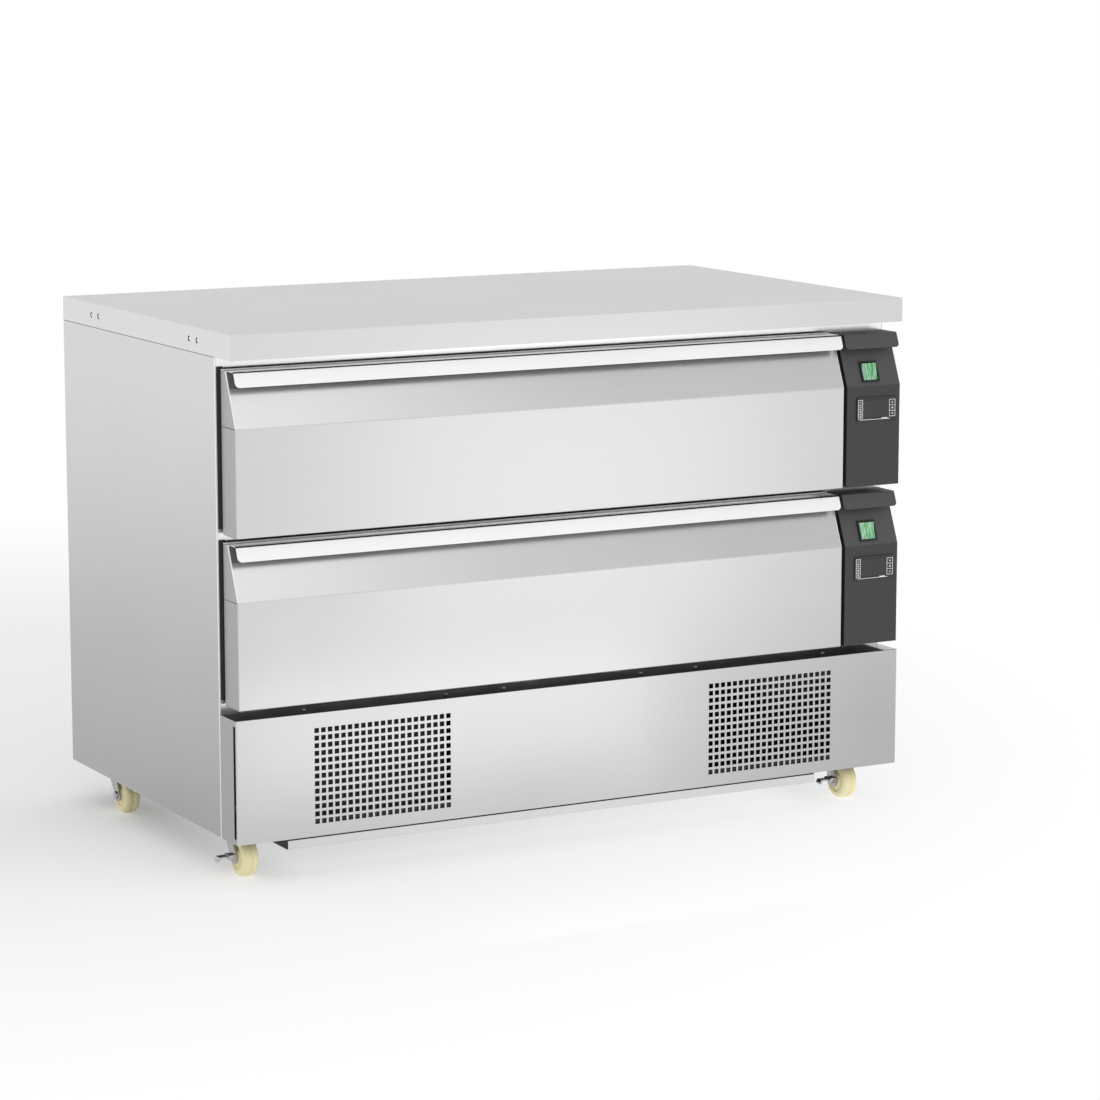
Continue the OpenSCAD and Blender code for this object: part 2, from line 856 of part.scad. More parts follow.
module plinth_panel() {
  color(STEEL) {
    along_y(front, front + plinth_t)
      plinth_face();
    along_x(left, left + plinth_t)
      plinth_return();
    along_x(right - plinth_t, right)
      plinth_return();
  }
}

// Moves to each screw on the plinth's cap
module at_screws() {
  for (side = [-1, 1], x = screw_x)
    translate([side * x, front + plinth_t + (front_proud - plinth_t) / 2, plinth_top])
      children();
}

module plinth_cap() {
  color("black")
    difference() {
      box(
        [left + plinth_t, front + plinth_t, plinth_top - cap_t],
        [right - plinth_t, carcass_front, plinth_top]
      );
      at_screws()
        translate([0, 0, -cap_t - cut])
          cylinder(r = screw_r + joint_gap, h = cap_t + 2 * cut);
    }
}

module plinth_screws() {
  color("white")
    at_screws() {
      cylinder(r = screw_head_r, h = screw_head_h);
      translate([0, 0, -screw_len])
        cylinder(r = screw_r, h = screw_len + screw_head_h / 2);
    }
}

module control_panels() {
  body_gap = 2 * joint_gap;
  can_w = rocker_w + 2 * rocker_clear + 2 * panel_t;
  can_len = rocker_len + 2 * rocker_clear + 2 * panel_t;
  color("dimgray")
    for (d = [LOWER, UPPER])
      difference() {
        translate([0, 0, drawer_z(d)])
          front_shell(panel_x0, panel_x1, panel_front, carcass_front, panel_t);
        translate([
          tstat_x - tstat_body_w / 2 - body_gap,
          panel_front - cut,
          tstat_z(d) - tstat_body_h / 2 - body_gap
        ])
          cube([tstat_body_w + 2 * body_gap, panel_t + 2 * cut, tstat_body_h + 2 * body_gap]);
        on_slope(d)
          translate([-can_w / 2 - body_gap, -can_len / 2 - body_gap, -panel_t - cut])
            cube([can_w + 2 * body_gap, can_len + 2 * body_gap, panel_t + 2 * cut]);
      }
}

module thermostats() {
  pocket_d = key_t - key_proud + key_room;
  color("black")
    for (d = [LOWER, UPPER])
      difference() {
        union() {
          translate([tstat_x - bezel_w / 2, bezel_front, tstat_z(d) - bezel_h / 2])
            cube([bezel_w, bezel_t, bezel_h]);
          translate([tstat_x - tstat_body_w / 2, panel_front - cut, tstat_z(d) - tstat_body_h / 2])
            cube([tstat_body_w, tstat_body_d + cut, tstat_body_h]);
        }
        translate([tstat_x - display_w / 2, bezel_front - cut, tstat_z(d) - display_h / 2])
          cube([display_w, display_d + cut, display_h]);
        for (i = [0 : 2])
          translate([key_x - key_w / 2 - key_clear, bezel_front - cut, key_z(d, i) - key_h / 2 - key_clear])
            cube([key_w + 2 * key_clear, pocket_d + cut, key_h + 2 * key_clear]);
      }
}

// One key of a thermostat, counted from the top
module key(d, i) {
  color("dimgray")
    translate([key_x - key_w / 2, bezel_front - key_proud, key_z(d, i) - key_h / 2])
      cube([key_w, key_t, key_h]);
}

module switch_bodies() {
  well_w = rocker_w + 2 * rocker_clear;
  well_len = rocker_len + 2 * rocker_clear;
  can_w = well_w + 2 * panel_t;
  can_len = well_len + 2 * panel_t;
  color("black")
    for (d = [LOWER, UPPER])
      on_slope(d)
        difference() {
          union() {
            translate([-switch_w / 2, -switch_len / 2, 0])
              cube([switch_w, switch_len, switch_bezel_t]);
            translate([-can_w / 2, -can_len / 2, -switch_depth])
              cube([can_w, can_len, switch_depth + cut]);
          }
          translate([-well_w / 2, -well_len / 2, -switch_depth + panel_t])
            cube([well_w, well_len, switch_depth + switch_bezel_t]);
          translate([0, 0, -rocker_pivot])
            rod_x(-can_w / 2 - cut, can_w / 2 + cut, rocker_pin_r + run_clear);
        }
}

// Rocker of a switch: a saddle with two pivot pins
module rocker(d) {
  half = rocker_len / 2;
  pin_x = rocker_w / 2 + rocker_clear + panel_t;
  crest = rocker_pivot + switch_bezel_t;
  color("limegreen")
    on_slope(d)
      translate([0, 0, -rocker_pivot])
        rotate([rocker_tilt, 0, 0]) {
          along_x(-rocker_w / 2, rocker_w / 2)
            polygon([
              [-half / 2, -2 * rocker_pivot], [half / 2, -2 * rocker_pivot],
              [half - rocker_clear, 0], [half - rocker_clear, crest + cut],
              [0, crest], [rocker_clear - half, crest + cut], [rocker_clear - half, 0]
            ]);
          rod_x(-pin_x, pin_x, rocker_pin_r);
        }
}

module upper_rocker() {
  rocker(UPPER);
}

module lower_rocker() {
  rocker(LOWER);
}

module drawer_front(d) {
  color(STEEL)
    translate([0, 0, drawer_z(d)])
      front_shell(drawer_x0, drawer_x1, front, shell_back, front_t);
}

// Insulated inner part of a drawer front
module drawer_inner(d) {
  inset = front_t + joint_gap;
  color("silver")
    translate([0, 0, drawer_z(d)])
      along_x(drawer_x0 + inset, drawer_x1 - inset)
        polygon(front_outline(inset, front, shell_back));
}

// Seal round the back of a drawer front
module drawer_seal(d) {
  x0 = drawer_x0 + seal_inset;
  x1 = drawer_x1 - seal_inset;
  z0 = drawer_z(d) + seal_low;
  z1 = drawer_z(d) + front_h + seal_rise;
  color("black")
    difference() {
      box([x0, shell_back, z0], [x1, carcass_front - seal_clear, z1]);
      box([x0 + seal_w, shell_back - cut, z0 + seal_w], [x1 - seal_w, carcass_front + cut, z1 - seal_w]);
    }
}

// Frame that carries the pans: four folded sheets and the bars between the pans
module drawer_box(d) {
  z0 = box_z0(d);
  z1 = z0 + box_h;
  bar_span = (box_x1 - box_x0 - 2 * box_t - 2 * ledge_w - (pan_count - 1) * bar_w) / pan_count;
  end_x0 = box_x0 + box_t + joint_gap;
  end_x1 = box_x1 - box_t - joint_gap;
  color("lightgray") {
    for (side = [0, 1])
      translate([cell_mid, 0, 0])
        mirror([side, 0, 0])
          translate([-cell_mid, 0, 0]) {
            box([box_x0, shell_back, z0], [box_x0 + box_t, box_y1, z1]);
            box(
              [box_x0, shell_back + ledge_w + box_t + joint_gap, z1 - box_t],
              [box_x0 + box_t + ledge_w, box_y1 - ledge_w - box_t - joint_gap, z1]
            );
          }
    box([end_x0, shell_back, z0], [end_x1, shell_back + box_t, z1]);
    box([end_x0, shell_back, z1 - box_t], [end_x1, shell_back + box_t + ledge_w, z1]);
    box([end_x0, box_y1 - box_t, z0], [end_x1, box_y1, z1]);
    box([end_x0, box_y1 - box_t - ledge_w, z1 - box_t], [end_x1, box_y1, z1]);
    for (i = [1 : pan_count - 1])
      translate([box_x0 + box_t + ledge_w + i * bar_span + (i - 1) * bar_w, shell_back + box_t, z1 + joint_gap])
        cube([bar_w, box_y1 - shell_back - 2 * box_t, bar_t]);
  }
}

module drawer_rails(d) {
  color("darkgray")
    both_sides()
      slide_channel(d, 2 * (slide_part + slide_clear), true);
}

module middle_rails(d) {
  color("darkgray")
    both_sides()
      slide_channel(d, slide_part + slide_clear, false);
}

module upper_drawer_front() {
  drawer_front(UPPER);
}

module upper_drawer_inner() {
  drawer_inner(UPPER);
}

module upper_drawer_seal() {
  drawer_seal(UPPER);
}

module upper_drawer_box() {
  drawer_box(UPPER);
}

module upper_drawer_rails() {
  drawer_rails(UPPER);
}

module upper_middle_rails() {
  middle_rails(UPPER);
}

module lower_drawer_front() {
  drawer_front(LOWER);
}

module lower_drawer_inner() {
  drawer_inner(LOWER);
}

module lower_drawer_seal() {
  drawer_seal(LOWER);
}

module lower_drawer_box() {
  drawer_box(LOWER);
}

module lower_drawer_rails() {
  drawer_rails(LOWER);
}

module lower_middle_rails() {
  middle_rails(LOWER);
}

module castor_stems() {
  race_r = crown_r - 4;
  head_r = 1.5 * stem_r;
  head_z0 = crown_z0 - face_clear - stem_race_t;
  stem_z1 = base_top + 2 * stem_r;
  color("silver")
    at_castors() {
      translate([0, 0, head_z0])
        cylinder(r = stem_r, h = stem_z1 - head_z0);
      translate([0, 0, head_z0])
        cylinder(r = head_r, h = stem_race_t);
      translate([0, 0, base_z - stem_race_t])
        cylinder(r = race_r, h = stem_race_t);
      translate([0, 0, base_top])
        cylinder(r = 1.7 * stem_r, h = 1.2 * stem_r, $fn = 6);
    }
}

// Turns a castor's pieces to their place at rest: x along the axle, the wheel towards -y
module at_castor(i) {
  translate([CASTORS[i].x, CASTORS[i].y, 0])
    rotate(-castor_turn)
      children();
}

// Y-Z outline of a fork's leg
module leg_outline() {
  top_half = 0.6 * crown_r;
  polygon([
    [-top_half, crown_z1], [top_half, crown_z1], [top_half, crown_z0],
    [leg_r - castor_trail, axle_z], [-leg_r - castor_trail, axle_z]
  ]);
  translate([-castor_trail, axle_z])
    circle(r = leg_r);
}

// Crown, legs, axle and, where there is a brake, the ears and pin of its pedal
module castor_fork(i, braked) {
  color("silver")
    at_castor(i) {
      difference() {
        union() {
          translate([0, 0, crown_z0])
            cylinder(r = crown_r, h = crown_t);
          along_x(leg_x0, leg_x1)
            leg_outline();
          along_x(-leg_x1, -leg_x0)
            leg_outline();
        }
        translate([0, 0, crown_z0 - cut])
          cylinder(r = stem_r + run_clear, h = crown_t + 2 * cut);
      }
      translate([0, -castor_trail, axle_z]) {
        rod_x(-leg_x1 - cut, leg_x1 + cut, axle_r);
        for (side = [0, 1])
          mirror([side, 0, 0])
            translate([leg_x1, 0, 0])
              rotate([0, 90, 0])
                cylinder(r = nut_r, h = nut_t, $fn = 6);
      }
      if (braked)
        pedal_ears();
    }
}

module pedal_ears() {
  ear_y = pedal_w / 2 + face_clear;
  ear_r = pedal_barrel_r;
  for (y0 = [-castor_trail - ear_y - ear_t, -castor_trail + ear_y])
    translate([0, y0, 0])
      along_y(0, ear_t) {
        translate([-pedal_x, pedal_z])
          circle(r = ear_r);
        translate([-pedal_x, pedal_z - ear_r])
          square([pedal_x - leg_x0, 2 * ear_r]);
      }
  translate([-pedal_x, 0, pedal_z])
    rod_y(-castor_trail - ear_y - ear_t, -castor_trail + ear_y + ear_t, pedal_pin_r);
}

// Side pedal of a castor's brake, with a turned-down tip
module brake_pedal(i) {
  arm_x0 = -pedal_reach;
  color("gray")
    at_castor(i)
      difference() {
        translate([0, -castor_trail, 0])
          along_y(-pedal_w / 2, pedal_w / 2) {
            translate([-pedal_x, pedal_z])
              circle(r = pedal_barrel_r);
            polygon([
              [-pedal_x, pedal_z + pedal_t], [arm_x0 + pedal_t, pedal_z + pedal_t],
              [arm_x0, pedal_z - pedal_t], [arm_x0, pedal_z - 2 * pedal_t],
              [arm_x0 + pedal_t, pedal_z - 2 * pedal_t], [arm_x0 + 2 * pedal_t, pedal_z],
              [-pedal_x, pedal_z]
            ]);
          }
        translate([-pedal_x, 0, pedal_z])
          rod_y(-castor_trail - pedal_w, -castor_trail + pedal_w, pedal_pin_r + run_clear);
      }
}

// Half of a wheel's outline as radius and distance from its middle
function wheel_outline() =
  let (r = wheel_d / 2, w = wheel_w / 2, hub = 2.6 * axle_r, groove = 1.2, dish = 4)
  [
    [axle_r + run_clear, -w], [hub, -w], [hub + dish / 2, dish - w], [0.72 * r, dish - w],
    [0.78 * r, 0.5 - w], [0.9 * r, -w], [r - 0.8, 2 - w], [r, dish - w],
    [r, -2 * groove], [r - groove, -groove], [r - groove, groove], [r, 2 * groove],
    [r, w - dish], [r - 0.8, w - 2], [0.9 * r, w], [0.78 * r, w - 0.5],
    [0.72 * r, w - dish], [hub + dish / 2, w - dish], [hub, w], [axle_r + run_clear, w]
  ];

module castor_wheel(i) {
  color("wheat")
    at_castor(i)
      translate([0, -castor_trail, axle_z])
        rotate([0, 90, 0])
          rotate_extrude()
            polygon(wheel_outline());
}

module front_left_fork() {
  castor_fork(0, true);
}

module front_right_fork() {
  castor_fork(1, true);
}

module rear_left_fork() {
  castor_fork(2, false);
}

module rear_right_fork() {
  castor_fork(3, false);
}

module front_left_wheel() {
  castor_wheel(0);
}

module front_right_wheel() {
  castor_wheel(1);
}

module rear_left_wheel() {
  castor_wheel(2);
}

module rear_right_wheel() {
  castor_wheel(3);
}

module front_left_brake_pedal() {
  brake_pedal(0);
}

module front_right_brake_pedal() {
  brake_pedal(1);
}

module compressors() {
  plate_w = 2 * comp_r + 24;
  plate_d = 1.6 * comp_r;
  foot_r = 8;
  color("black")
    for (x = comp_x)
      translate([x, comp_y, 0]) {
        translate([-plate_w / 2, -plate_d / 2, base_top + comp_foot])
          cube([plate_w, plate_d, comp_plate]);
        for (sx = [-1, 1], sy = [-1, 1])
          translate([sx * (plate_w / 2 - foot_r), sy * (plate_d / 2 - foot_r), base_top])
            cylinder(r = foot_r, h = comp_foot);
        translate([0, 0, comp_z])
          cylinder(r = comp_r, h = comp_h);
        translate([0, 0, comp_z + comp_h])
          cylinder(r1 = comp_r, r2 = comp_r / 2, h = comp_dome);
        translate([0, 0, port_z])
          rod_x(-comp_r - port_len, comp_r + port_len, pipe_r + cut);
      }
}

module condenser_coil() {
  tube_rows = 5;
  tube_pitch = cond_h / tube_rows;
  color("slategray") {
    box([cond_x - cond_w / 2, cond_y0, cond_z0], [cond_x1, cond_y1, cond_z0 + cond_h]);
    for (i = [0 : tube_rows - 1])
      translate([0, (cond_y0 + cond_y1) / 2, cond_z0 + (i + 0.5) * tube_pitch])
        rod_x(cond_x - cond_w / 2 - port_len, cond_x, pipe_r);
  }
}

module condenser_fan_frame() {
  color("dimgray")
    at_condenser_fan()
      fan_frame(2 * cond_fan_r + 20, cond_h, cond_fan_r, cond_fan_d);
}

module condenser_fan() {
  color("gray")
    at_condenser_fan()
      fan_wheel(cond_fan_r, cond_fan_d);
}

module evaporator_coils() {
  color("slategray")
    for (d = [LOWER, UPPER]) {
      z0 = cell_mid_z(d) - evap_h / 2;
      box([evap_x0, evap_y0, z0], [evap_x1, cell_y1, z0 + evap_h]);
    }
}

module evaporator_fan_frames() {
  color("dimgray")
    for (d = [LOWER, UPPER])
      at_evaporator_fan(d)
        fan_frame(evap_fan_size, evap_fan_size, evap_fan_r, evap_d - fan_strut);
}

module upper_evaporator_fan() {
  color("gray")
    at_evaporator_fan(UPPER)
      fan_wheel(evap_fan_r, evap_d - fan_strut);
}

module lower_evaporator_fan() {
  color("gray")
    at_evaporator_fan(LOWER)
      fan_wheel(evap_fan_r, evap_d - fan_strut);
}

// Discharge and suction pipes of both compressors
module refrigerant_pipes() {
  reach = comp_r + port_len;
  cond_y = (cond_y0 + cond_y1) / 2;
  cond_low = cond_mid_z - cond_h / 4;
  cond_high = cond_mid_z + cond_h / 4;
  near_x = cond_x1 + 2 * pipe_step;
  pass_y = comp_y - comp_r - 3 * pipe_step;
  color("peru") {
    pipe_run([
      [comp_x[0] - reach, comp_y, port_z], [near_x, comp_y, port_z], [near_x, comp_y, cond_low],
      [near_x, cond_y, cond_low], [cond_x1, cond_y, cond_low]
    ]);
    pipe_run([
      [comp_x[1] - reach, comp_y, port_z], [comp_x[1] - reach - pipe_step, comp_y, port_z],
      [comp_x[1] - reach - pipe_step, pass_y, port_z], [near_x + pipe_step, pass_y, port_z],
      [near_x + pipe_step, pass_y, cond_high], [near_x + pipe_step, cond_y, cond_high],
      [cond_x1, cond_y, cond_high]
    ]);
    for (d = [LOWER, UPPER]) {
      port_x = comp_x[1 - d] + reach;
      turn_x = port_x + pipe_step;
      pipe_run([
        [port_x, comp_y, port_z], [turn_x, comp_y, port_z], [turn_x, pipe_y(d), port_z],
        [riser_x(d), pipe_y(d), port_z], [riser_x(d), pipe_y(d), cell_mid_z(d)],
        [evap_x1, pipe_y(d), cell_mid_z(d)]
      ]);
    }
  }
}

module cable_gland() {
  flange_r = gland_r + 4;
  color("black")
    translate([gland_x, 0, gland_z])
      difference() {
        union() {
          rod_y(foam_y1 - 2 * gland_r, back, gland_r);
          translate([0, back_panel_y, 0])
            rotate([-90, 0, 0])
              cylinder(r = flange_r, h = back_inset / 2, $fn = 6);
        }
        rod_y(foam_y1 - 2 * gland_r - cut, back + cut, gland_bore_r);
      }
}

worktop();
worktop_plugs();
left_side_panel();
right_side_panel();
back_panel();
front_frame();
cell_casing();
cell_insulation();
upper_liner();
lower_liner();
fixed_rails();
base_plate();
undertray();
plinth_panel();
plinth_cap();
plinth_screws();
control_panels();
thermostats();
switch_bodies();
compressors();
condenser_coil();
condenser_fan_frame();
evaporator_coils();
evaporator_fan_frames();
refrigerant_pipes();
cable_gland();
castor_stems();
upper_drawer_front();
upper_drawer_inner();
upper_drawer_seal();
upper_drawer_box();
upper_drawer_rails();
upper_middle_rails();
lower_drawer_front();
lower_drawer_inner();
lower_drawer_seal();
lower_drawer_box();
lower_drawer_rails();
lower_middle_rails();
front_left_fork();
front_right_fork();
rear_left_fork();
rear_right_fork();
front_left_wheel();
front_right_wheel();
rear_left_wheel();
rear_right_wheel();
front_left_brake_pedal();
front_right_brake_pedal();
upper_rocker();
lower_rocker();
condenser_fan();
upper_evaporator_fan();
lower_evaporator_fan();
key(UPPER, 0);  // upper_key_1
key(UPPER, 1);  // upper_key_2
key(UPPER, 2);  // upper_key_3
key(LOWER, 0);  // lower_key_1
key(LOWER, 1);  // lower_key_2
key(LOWER, 2);  // lower_key_3
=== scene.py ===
# %% [markdown]
# # A refrigerated drawer counter
# This is a kitchen counter of folded stainless steel: a worktop, two wide cold drawers, dark control
# panels at the right, a ventilated plinth and castors. The solids come from a CAD model that is already
# right in size, so this lesson only dresses them: it swaps the plain solids that show most for sheets
# with real folds, adds the small parts and gives every surface its finish.
# Lengths are in metres, +X is to the right seen from the front, +Y is to the back and +Z is up.

# %% Load the frame
import json
from math import atan2, cos, degrees, pi, radians, sin, tan

import bmesh
import bpy
from mathutils import Matrix, Vector


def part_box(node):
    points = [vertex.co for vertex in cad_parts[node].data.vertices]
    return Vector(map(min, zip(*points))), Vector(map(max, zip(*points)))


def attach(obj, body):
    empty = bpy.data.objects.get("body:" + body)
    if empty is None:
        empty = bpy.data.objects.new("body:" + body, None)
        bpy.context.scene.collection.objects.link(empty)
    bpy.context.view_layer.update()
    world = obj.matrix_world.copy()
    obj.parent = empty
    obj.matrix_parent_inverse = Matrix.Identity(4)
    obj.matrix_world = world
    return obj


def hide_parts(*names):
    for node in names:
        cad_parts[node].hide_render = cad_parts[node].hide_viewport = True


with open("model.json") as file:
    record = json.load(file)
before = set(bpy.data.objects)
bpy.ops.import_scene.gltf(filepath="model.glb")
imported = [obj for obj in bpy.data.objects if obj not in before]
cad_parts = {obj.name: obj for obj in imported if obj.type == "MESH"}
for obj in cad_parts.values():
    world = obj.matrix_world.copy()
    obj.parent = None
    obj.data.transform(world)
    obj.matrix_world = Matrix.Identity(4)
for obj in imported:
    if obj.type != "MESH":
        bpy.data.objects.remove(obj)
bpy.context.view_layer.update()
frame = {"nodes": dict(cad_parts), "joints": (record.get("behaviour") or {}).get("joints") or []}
joints = {joint["name"]: joint for joint in frame["joints"]}

# %% [markdown]
# ## Camera
# The photograph was taken from the front left, a little above the worktop, with a long lens. The
# camera's place was found by matching the counter's corners, so no lens shift is needed. A camera in
# Blender looks along its own -Z, so its X angle is a right angle less the tilt down.

# %% Camera
CAMERA_PLACE = Vector((-2.865, -5.497, 1.472))
CAMERA_YAW = radians(28.59)
CAMERA_TILT = radians(9.52)
CAMERA_LENS = 120.7

camera_data = bpy.data.cameras.new("camera")
camera_data.lens = CAMERA_LENS
camera = bpy.data.objects.new("camera", camera_data)
camera.location = CAMERA_PLACE
camera.rotation_euler = (pi / 2 - CAMERA_TILT, 0, -CAMERA_YAW)
bpy.context.scene.collection.objects.link(camera)
bpy.context.scene.camera = camera

# %% [markdown]
# ## Shared effects
# Steel, paint and plastic share a few effects: the fine lines of brushing, slow cloudy marks from
# handling, and the pebbled skin of paint and moulded plastic. Each is a shader node group with named
# sockets, so that a material places it once and sets its own values. The groups read the object's own
# coordinates, so the marks stay on a piece when it moves.

# %% Helpers for shader nodes


def new_group(name, inputs, outputs):
    """Node group with the given sockets: inputs as (name, kind, value), outputs as (name, kind)."""
    group = bpy.data.node_groups.new(name, "ShaderNodeTree")
    for title, kind, value in inputs:
        socket = group.interface.new_socket(title, in_out="INPUT", socket_type=kind)
        if value is not None:
            socket.default_value = value
    for title, kind in outputs:
        group.interface.new_socket(title, in_out="OUTPUT", socket_type=kind)
    return group, group.nodes.new("NodeGroupInput"), group.nodes.new("NodeGroupOutput")


def feed(tree, socket, value):
    """Links a node's socket to another socket, or sets it to a plain value."""
    if isinstance(value, bpy.types.NodeSocket):
        tree.links.new(value, socket)
    else:
        socket.default_value = value


def add_node(tree, kind, **settings):
    """New node: names that start with a capital letter feed its sockets, the others set its attributes."""
    node = tree.nodes.new(kind)
    for key, value in settings.items():
        if key[0].isupper():
            feed(tree, node.inputs[key.replace("_", " ")], value)
        else:
            setattr(node, key, value)
    return node


def maths(tree, operation, *values):
    """Output of a Math node that is fed with sockets and numbers."""
    node = add_node(tree, "ShaderNodeMath", operation=operation)
    for socket, value in zip(node.inputs, values):
        feed(tree, socket, value)
    return node.outputs[0]


def map_range(tree, value, low, high, to_low, to_high):
    """Output of a Map Range node that is fed by a socket."""
    spans = {"From_Min": low, "From_Max": high, "To_Min": to_low, "To_Max": to_high}
    return add_node(tree, "ShaderNodeMapRange", Value=value, **spans).outputs["Result"]


def set_ramp(ramp, *stops):
    """Sets the two stops of a Color Ramp node, each as (position, colour)."""
    for element, (position, colour) in zip(ramp.color_ramp.elements, stops):
        element.position = position
        element.color = colour


print("shader helpers ready")

# %% Brushed lines
VALUE = "NodeSocketFloat"
VECTOR = "NodeSocketVector"
NOISE_MIDDLE = 0.5
NOISE_SPAN = (0.3, 0.7)
BROAD_SHARE = 0.45
LINE_SPAN = (-0.16, 0.16)
LINE_TONE = (0.975, 1.025)
LINE_GLOSS = (-0.03, 0.03)


def make_brushed_lines():
    """Lines along the first axis of a stretched vector: a tone, a gloss shift and a height round zero."""
    group, source, result = new_group(
        "brushed_lines",
        [("Vector", VECTOR, None), ("Depth", VALUE, 0.5)],
        [("Tone", VALUE), ("Gloss", VALUE), ("Height", VALUE)],
    )
    vector = source.outputs["Vector"]
    fine = add_node(group, "ShaderNodeTexNoise", Vector=vector, Scale=1.0, Detail=3.0, Roughness=0.65)
    broad = add_node(group, "ShaderNodeTexNoise", Vector=vector, Scale=0.13, Detail=2.0, Roughness=0.5)
    mixed = maths(group, "MULTIPLY_ADD", broad.outputs["Fac"], BROAD_SHARE, fine.outputs["Fac"])
    centred = maths(group, "SUBTRACT", mixed, NOISE_MIDDLE * (1 + BROAD_SHARE))
    height = maths(group, "MULTIPLY", centred, source.outputs["Depth"])
    for title, span in (("Tone", LINE_TONE), ("Gloss", LINE_GLOSS)):
        feed(group, result.inputs[title], map_range(group, height, *LINE_SPAN, *span))
    feed(group, result.inputs["Height"], height)
    return group


brushed_lines = make_brushed_lines()
print("group", brushed_lines.name)

# %% Slow clouds


def make_slow_clouds():
    """Soft large patches from handling and cleaning, as a shift round zero."""
    group, source, result = new_group(
        "slow_clouds",
        [("Vector", VECTOR, None), ("Size", VALUE, 4.0), ("Amount", VALUE, 0.1)],
        [("Shift", VALUE)],
    )
    place = {"Vector": source.outputs["Vector"], "Scale": source.outputs["Size"]}
    noise = add_node(group, "ShaderNodeTexNoise", Detail=2.0, Roughness=0.5, Distortion=0.3, **place)
    centred = maths(group, "SUBTRACT", noise.outputs["Fac"], NOISE_MIDDLE)
    feed(group, result.inputs["Shift"], maths(group, "MULTIPLY", centred, source.outputs["Amount"]))
    return group


slow_clouds = make_slow_clouds()
print("group", slow_clouds.name)

# %% Pebbled skin
SPECKLE_TONE = (0.85, 1.15)


def make_pebbled_skin():
    """Small rounded bumps of powder coat and moulded plastic: a height and a speckle tone."""
    group, source, result = new_group(
        "pebbled_skin",
        [("Vector", VECTOR, None), ("Size", VALUE, 900.0)],
        [("Height", VALUE), ("Tone", VALUE)],
    )
    place = {"Vector": source.outputs["Vector"], "Scale": source.outputs["Size"]}
    cells = add_node(group, "ShaderNodeTexVoronoi", feature="SMOOTH_F1", Smoothness=0.8, **place)
    speckle = add_node(group, "ShaderNodeTexNoise", Detail=2.0, Roughness=0.6, **place)
    feed(group, result.inputs["Height"], cells.outputs["Distance"])
    feed(group, result.inputs["Tone"], map_range(group, speckle.outputs["Fac"], *NOISE_SPAN, *SPECKLE_TONE))
    return group


pebbled_skin = make_pebbled_skin()
print("group", pebbled_skin.name)

# %% [markdown]
# ## Finishes
# Every material is a Principled BSDF whose colour, roughness and normal come from the groups above.
# What is the same all over a surface, such as the metalness, is set on the shader itself.
# Brushed steel needs to know which way it was brushed, so its coordinates are squeezed hard across the
# lines and hardly at all along them. Some of the steels are also painted darker at the foot or the lower
# right, painted shade for a darker part of the room that they mirror, and the worktop's ends are painted
# lighter as painted highlight.

# %% Material helpers


def new_material(name, **constants):
    """Material with a Principled BSDF, its constants set and the object's coordinates at hand."""
    material = bpy.data.materials.new(name)
    material.use_nodes = True
    shader = material.node_tree.nodes["Principled BSDF"]
    for key, value in constants.items():
        shader.inputs[key.replace("_", " ")].default_value = value
    place = add_node(material.node_tree, "ShaderNodeTexCoord").outputs["Object"]
    return material, material.node_tree, shader, place


def place_group(tree, group, vector, **values):
    """Group node fed by a vector, with its own values."""
    return add_node(tree, "ShaderNodeGroup", node_tree=group, Vector=vector, **values)


def tinted(tree, colour, tone):
    """Colour times a tone socket."""
    kind = {"data_type": "RGBA", "blend_type": "MULTIPLY"}
    mix = add_node(tree, "ShaderNodeMix", **kind, Factor=1.0, A=(*colour, 1.0), B=tone)
    return mix.outputs["Result"]


def summed(tree, total, *values):
    """Sum of sockets and numbers."""
    for value in values:
        total = maths(tree, "ADD", total, value)
    return total


def grey(level):
    """Colour without a hue."""
    return (level, level, level)


def part(tree, vector, axis):
    """One part of a vector socket."""
    return add_node(tree, "ShaderNodeSeparateXYZ", Vector=vector).outputs[axis]


def facing_part(tree, axis):
    """How far the surface faces along an axis, from -1 to 1."""
    return part(tree, add_node(tree, "ShaderNodeNewGeometry").outputs["Normal"], axis)


def feed_shader(tree, shader, colour, gloss, height, strength, distance):
    """Feeds a shader's colour and roughness, and its normal from a height."""
    bump = add_node(tree, "ShaderNodeBump", Strength=strength, Distance=distance, Height=height)
    feed(tree, shader.inputs["Base Color"], colour)
    feed(tree, shader.inputs["Roughness"], gloss)
    feed(tree, shader.inputs["Normal"], bump.outputs["Normal"])


print("material helpers ready")

# %% Steel
GRAIN_X = (6.0, 900.0, 900.0)
GRAIN_Y = (900.0, 6.0, 900.0)
GRAIN_Z = (900.0, 900.0, 6.0)
# Spans of the painted shade at the foot and the lower right corner, and of the faces that take the ends'
# painted light.
FOOT_SHADE_SPAN = (0.10, 0.75)
CORNER_X = (0.10, 0.55)
CORNER_Z = (0.55, 0.15)
END_FACING = (0.4, 0.6)
STEEL_CLOUDS = {"Size": 3.0, "Amount": 0.10}
STEEL_BUMP = (0.12, 0.00005)


